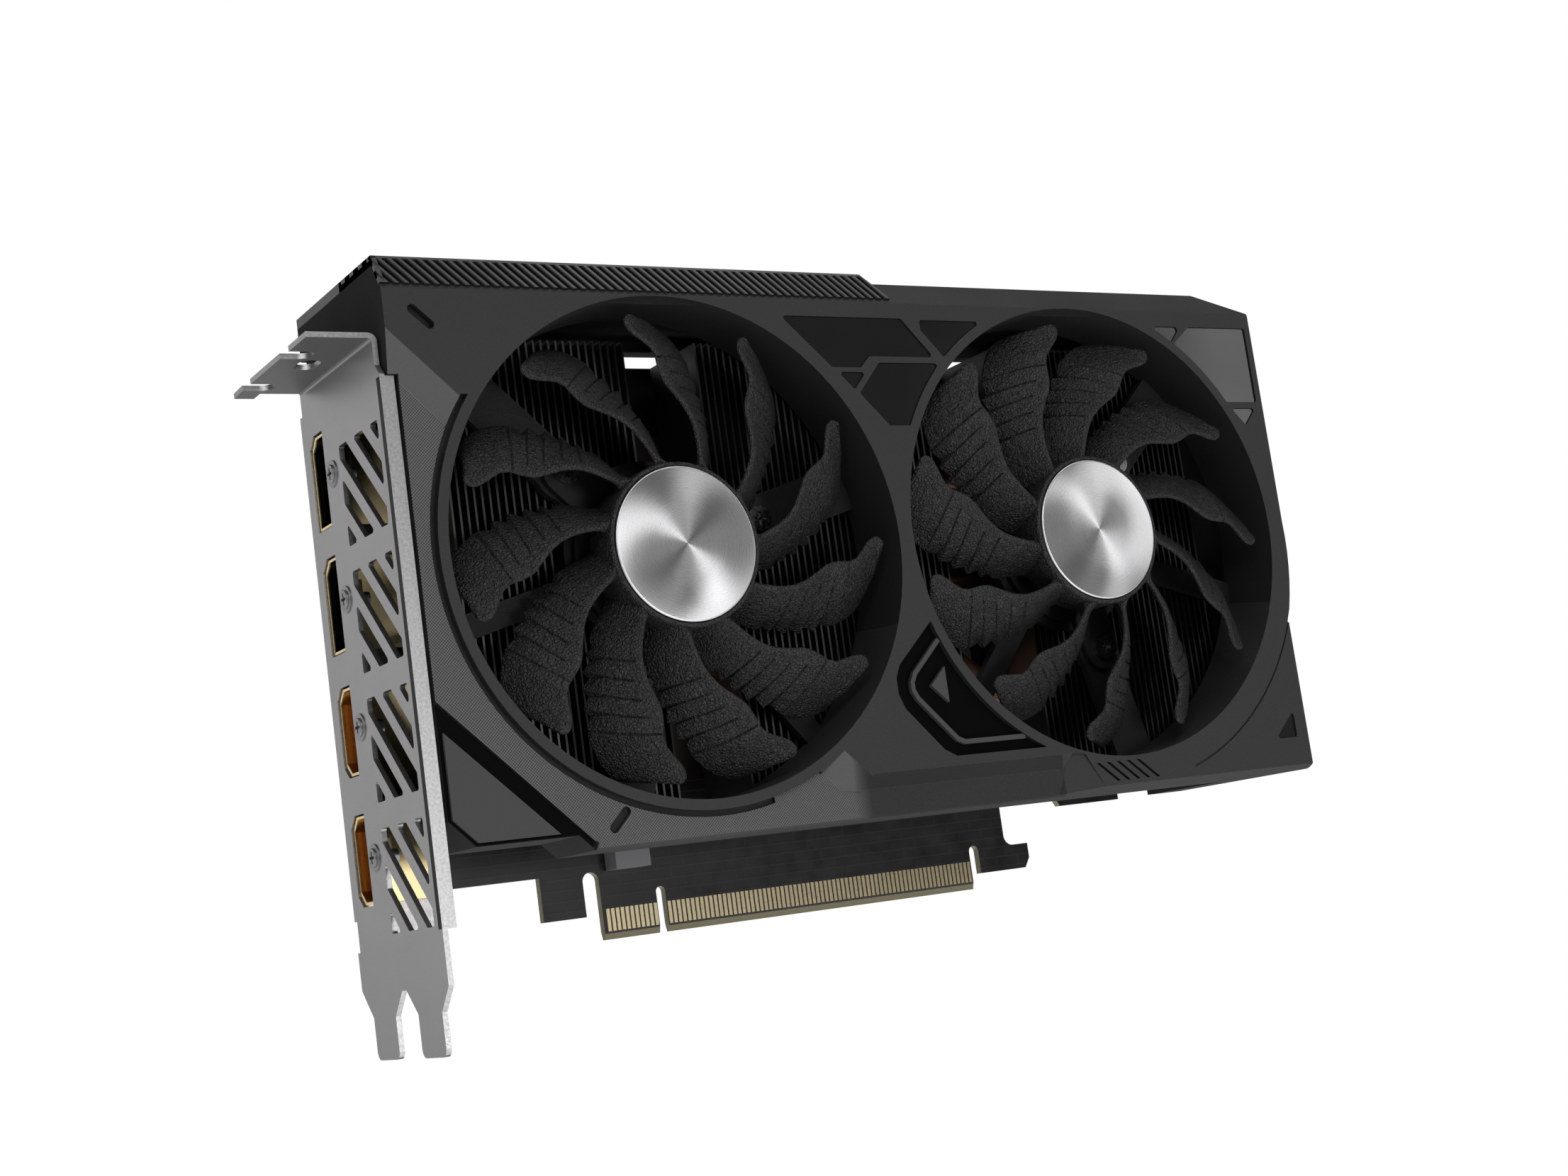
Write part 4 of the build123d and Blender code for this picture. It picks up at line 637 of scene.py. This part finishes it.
def blade_mesh():
    """One blade with its tip at angle 0: points round each row, and the faces between rows."""
    rows, count = blade_rows(), len(CHORD_STEPS)
    points = []
    for row, depth, number in rows:
        thin = sqrt(max(0.0, 1.0 - (max(0.0, row - BLADE_TIP + THIN_END) / THIN_END) ** 2))
        flare = 1.0 + FLARE_GAIN * max(0.0, 1.0 - (row - FLARE_R) / FLARE_RUN) ** 2
        front, back = [], []
        for chord in CHORD_STEPS:
            middle, normal = blade_surface(row, chord)
            half = BLADE_HALF - (BLADE_HALF - BLADE_THIN) * chord
            half *= sqrt(max(0.0, 1 - (1 - min(1.0, chord / LEAD_SHARE)) ** 2))
            into_edge = max(0.0, (chord - (1 - TRAIL_SHARE)) / TRAIL_SHARE)
            half *= sqrt(max(0.0, 1 - into_edge ** 2)) * thin * flare
            cut = 0.0
            if depth and chord > GROOVE_STARTS[number]:
                cut = GROOVE_DEPTH * depth * min(1.0, (chord - GROOVE_STARTS[number]) / GROOVE_FADE)
            front.append(middle + normal * (half - min(cut, half)))
            back.append(middle - normal * half)
        points += front + back[-2:0:-1]
    ring = 2 * count - 2
    faces = []
    for start in range(0, (len(rows) - 1) * ring, ring):
        for i in range(ring):
            after = (i + 1) % ring
            faces.append((start + i, start + after, start + ring + after, start + ring + i))
    faces.append(tuple(range(ring - 1, -1, -1)))
    faces.append(tuple((len(rows) - 1) * ring + i for i in range(ring)))
    return points, faces


def lathe(profile, steps):
    """Points and faces of a ring turned about Y from a closed (radius, y) profile."""
    points = [Vector((r * cos(2 * pi * k / steps), y, r * sin(2 * pi * k / steps)))
              for k in range(steps) for r, y in profile]
    n = len(profile)
    faces = [(k * n + i, k * n + (i + 1) % n, (k + 1) % steps * n + (i + 1) % n, (k + 1) % steps * n + i)
             for k in range(steps) for i in range(n)]
    return points, faces


def arc(corner, radius, start, end, steps=5):
    """Points of an arc about a centre, from one angle to another in degrees."""
    spread = [radians(start + (end - start) * i / steps) for i in range(steps + 1)]
    return [(corner[0] + radius * cos(a), corner[1] + radius * sin(a)) for a in spread]


def hub_profile():
    """Closed (radius, y) section of the hub: a cup with a raised lip round the cap's seat."""
    inner, plate = HUB_R - HUB_WALL, HUB_FRONT + HUB_PLATE
    wall = [(inner, HUB_BACK), (HUB_R - HUB_CHAMFER, HUB_BACK), (HUB_R, HUB_BACK - HUB_CHAMFER)]
    wall += arc((HUB_R - HUB_ROUND, HUB_FRONT + LIP_ROUND_IN), HUB_ROUND, 0, -90)
    seat = [(HUB_R - LIP_TOP, HUB_FRONT - LIP_RISE), (HUB_R - LIP_SEAT, HUB_FRONT)]
    hole = [(SHAFT_HOLE, HUB_FRONT), (SHAFT_HOLE, plate)]
    return wall + seat + hole + [(inner - PLATE_BEVEL, plate), (inner, plate + PLATE_BEVEL)]


def cap_profile(front, back):
    """Closed (radius, y) section of the cap: a shallow dome with a rounded rim."""
    rim = CAP_R - CAP_ROUND
    dome = [(rim * share, front + fall) for share, fall in CAP_DOME]
    edge = arc((rim, front + CAP_DOME[-1][1] + CAP_ROUND), CAP_ROUND, -90, 0)
    return dome + edge + [(CAP_R, back), (0.0, back)]


def make_fan(side, finishes):
    low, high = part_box(f"{side}_hub_cap")
    centre = Vector(((low[0] + high[0]) / 2, 0.0, (low[2] + high[2]) / 2))
    blade, blade_faces = blade_mesh()
    points, faces = [], []
    for k in range(BLADE_COUNT):
        angle = radians(FAN_TIP_ANGLE[side] + 360.0 * k / BLADE_COUNT)
        faces += [tuple(len(points) + i for i in face) for face in blade_faces]
        for p in blade:
            x, z = p.x, FAN_SENSE[side] * p.z
            across, over = x * cos(angle) - z * sin(angle), x * sin(angle) + z * cos(angle)
            points.append(Vector((across, p.y, over)))
    hub, hub_faces = lathe(hub_profile(), 128)
    faces += [tuple(len(points) + i for i in face) for face in hub_faces]
    points = [centre + p * MM for p in points + hub]
    rotor = round_mesh(f"{side}_bladed_rotor", points, faces)
    add_piece(f"{side}_bladed_rotor", rotor, finishes["blade_plastic"], f"{side}_rotor",
              f"{side}_impeller")
    cap, cap_faces = lathe(cap_profile(low[1] / MM, high[1] / MM), 160)
    lid = round_mesh(f"{side}_spun_cap", [centre + p * MM for p in cap], cap_faces, weld=0.001 * MM)
    add_piece(f"{side}_spun_cap", lid, finishes[f"{side}_hub_cap"], f"{side}_rotor",
              f"{side}_hub_cap")


# Ribbed trim along the top edge, in millimetres. Its right end is cut along a slant.
RIB_PITCH, RIB_WIDE, RIB_HIGH, RIB_SHOULDER = 1.85, 1.05, 0.75, 0.2
FRONT_LEAN, TOP_LEAN_START, TOP_LEAN_END = 3.6, -0.5, -7.0
TRIM_NOSE_Y, TRIM_BROW_Y, TRIM_REAR_Y = -39.25, -36.4, -21.0
TRIM_FOOT_Y, RIDGE_Y, UNDERSIDE_Z = -38.74, -36.2, 116.7
BROW_WIDE, NOSE_RISE = 0.55, 0.1
RIB_START, RIB_SPARE, RIB_SINK = -6.0, 8, 1.05    # first rib from the left end, spare ribs, and depth
TRIM_OVERRUN, TRIM_REACH = 5.0, 60.0    # how far the uncut trim runs past its left end, and to where
CUT_LOW_X, CUT_HIGH_X = 45.2, 40.6
END_BLOCK_RIGHT, END_BLOCK_Y, END_PLATE, END_PLATE_Y = -46.0, -21.4, 0.9, -21.2


def add_prism(form, section, x0, x1):
    """Closed prism of a section between two places along X."""
    ends = [[form.verts.new((x, p.y, p.z)) for p in section] for x in (x0, x1)]
    join(form, *ends)


def join(form, first, second):
    """Closes two rings of points into one solid."""
    n = len(first)
    for i in range(n):
        form.faces.new((first[i], first[(i + 1) % n], second[(i + 1) % n], second[i]))
    form.faces.new(first)
    form.faces.new(second[::-1])


def rib_ring(form, x, crest, foot):
    """Ring of points across a rib at one place, from its foot over its bevelled crest."""
    half = RIB_WIDE / 2
    shoulder = crest + (foot - crest) * 0.25
    outline = ((-half, foot), (-half, shoulder), (RIB_SHOULDER - half, crest),
               (half - RIB_SHOULDER, crest), (half, shoulder), (half, foot))
    return [form.verts.new((x + dx, p.y, p.z)) for dx, p in outline]


def cut_end(form, spot, normal):
    """Cuts off what lies past a plane, and closes the cut."""
    everything = list(form.verts) + list(form.edges) + list(form.faces)
    bmesh.ops.bisect_plane(form, geom=everything, plane_co=spot, plane_no=normal, clear_outer=True)
    bmesh.ops.holes_fill(form, edges=[e for e in form.edges if e.is_boundary], sides=0)


def make_ribbed_trim(finishes):
    """A body with slanting ribs over its sloping front and across its top."""
    low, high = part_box("ribbed_trim")
    left, base, top, back = low[0] / MM, low[2] / MM, high[2] / MM, high[1] / MM
    nose, brow = Vector((0, TRIM_NOSE_Y, base + NOSE_RISE)), Vector((0, TRIM_BROW_Y, top))
    ridge, foot = Vector((0, RIDGE_Y, UNDERSIDE_Z)), Vector((0, TRIM_FOOT_Y, base))
    inward = Vector((0, 0.9, -0.45)).normalized() * RIB_HIGH
    down = Vector((0, 0, -RIB_HIGH))
    brow_front, brow_back = (brow - nose).normalized() * BROW_WIDE, Vector((0, BROW_WIDE, 0))
    form = bmesh.new()

    body = [nose + inward, brow + Vector((0, 0.5, 0)) + down, Vector((0, TRIM_REAR_Y, top)) + down,
            Vector((0, TRIM_REAR_Y, UNDERSIDE_Z)), ridge, foot]
    add_prism(form, body, left - TRIM_OVERRUN, TRIM_REACH)
    add_prism(form, [brow - brow_front, brow, brow + brow_back, brow + brow_back + inward,
                     brow + inward - brow_front], left - TRIM_OVERRUN, TRIM_REACH)

    top_back = Vector((0, TRIM_REAR_Y + 0.01, top))
    runs = (((nose, inward, FRONT_LEAN), (brow - brow_front, inward, 0.0)),
            ((brow + brow_back * 1.6, down, TOP_LEAN_START), (top_back, down, TOP_LEAN_END)))
    for k in range(int((TRIM_REACH - left) / RIB_PITCH) + RIB_SPARE):
        x = left + RIB_START + RIB_PITCH * k
        for run in runs:
            rings = [rib_ring(form, x + lean, crest, crest + sink * RIB_SINK) for crest, sink, lean in run]
            join(form, *rings)

    slant = Vector((CUT_LOW_X - CUT_HIGH_X, 0, base - top)).normalized()
    cut_end(form, Vector((left, 0, 0)), Vector((-1, 0, 0)))
    cut_end(form, Vector((CUT_HIGH_X, 0, top)), Vector((-slant.z, 0, slant.x)))

    block = [(END_BLOCK_Y, top), (back, top), (back, UNDERSIDE_Z), (END_BLOCK_Y, UNDERSIDE_Z)]
    add_prism(form, [Vector((0, y, z)) for y, z in block], left, END_BLOCK_RIGHT)
    plate = [nose, brow, Vector((0, END_PLATE_Y, top)), Vector((0, END_PLATE_Y, UNDERSIDE_Z)), ridge, foot]
    add_prism(form, plate, left, left + END_PLATE)

    bmesh.ops.recalc_face_normals(form, faces=form.faces)
    bmesh.ops.scale(form, vec=(MM, MM, MM), verts=form.verts)
    data = bpy.data.meshes.new("diagonal_ribbed_trim")
    form.to_mesh(data)
    form.free()
    add_piece("diagonal_ribbed_trim", data, finishes["trim_plastic"], "card", "ribbed_trim")


# ---------------------------------------------------------------- light and floor
AMBIENT = 0.1
FLOOR_DROP, FLOOR_SIZE, FLOOR_GLOW = 0.3, 2.2, 0.5
# Each light: name, place from the card's middle, width and height, power
LIGHTS = (
    ("key", (-0.5, -1.0, 0.6), (0.9, 0.5), 3.4),
    ("front", (0.2, -1.16, -0.14), (0.34, 0.34), 1.9),
    ("gloss", (1.25, -0.95, 0.36), (0.45, 0.32), 1.0),
    ("low_left", (-1.1, -0.75, -0.1), (0.5, 0.7), 0.6),
    ("top", (0.5, -0.4, 1.1), (1.1, 0.35), 2.4),
    ("rear_left", (-0.75, 1.05, 0.25), (0.8, 0.9), 1.6),
    ("behind", (0.5, 1.1, 0.7), (0.8, 0.6), 7.0),
)


def soft_light(name, place, target, size, power):
    data = bpy.data.lights.new(name, "AREA")
    data.shape, data.size, data.size_y = "RECTANGLE", size[0], size[1]
    data.energy = power
    light = bpy.data.objects.new(name, data)
    light.location = place
    light.rotation_euler = (target - place).to_track_quat("-Z", "Y").to_euler()
    bpy.context.scene.collection.objects.link(light)


def make_backdrop():
    """White behind the card as the camera sees it, and dim as a source of light."""
    world = bpy.data.worlds.new("studio")
    bpy.context.scene.world = world
    world.use_nodes = True
    nodes, links = world.node_tree.nodes, world.node_tree.links
    nodes["Background"].inputs["Color"].default_value = (1, 1, 1, 1)
    seen = nodes.new("ShaderNodeLightPath")
    strength = nodes.new("ShaderNodeMapRange")
    strength.inputs["To Min"].default_value = AMBIENT
    strength.inputs["To Max"].default_value = 1.0
    links.new(seen.outputs["Is Camera Ray"], strength.inputs["Value"])
    links.new(strength.outputs[0], nodes["Background"].inputs["Strength"])


def make_studio():
    bpy.context.scene.view_settings.view_transform = "Standard"
    make_backdrop()
    centre = (Vector(CAD_BOX[0]) + Vector(CAD_BOX[1])) / 2
    for name, offset, size, power in LIGHTS:
        soft_light(name, centre + Vector(offset), centre, size, power)
    ground = (centre.x, centre.y, CAD_BOX[0][2] - FLOOR_DROP)
    bpy.ops.mesh.primitive_plane_add(size=FLOOR_SIZE, location=ground)
    floor = bpy.context.object
    floor.name = "floor"
    finish = Finish("floor_paper", (0.85, 0.85, 0.85), 0.9)
    finish.shade(0.01, finish.noise(30.0))
    finish.set("Emission Color", (1.0, 1.0, 1.0, 1.0))
    finish.set("Emission Strength", FLOOR_GLOW)
    dress(floor, finish.material)


make_camera()
FINISHES = make_finishes()
dress_nodes(FINISHES)
for side in SIDES:
    make_fan(side, FINISHES)
make_ribbed_trim(FINISHES)
make_studio()
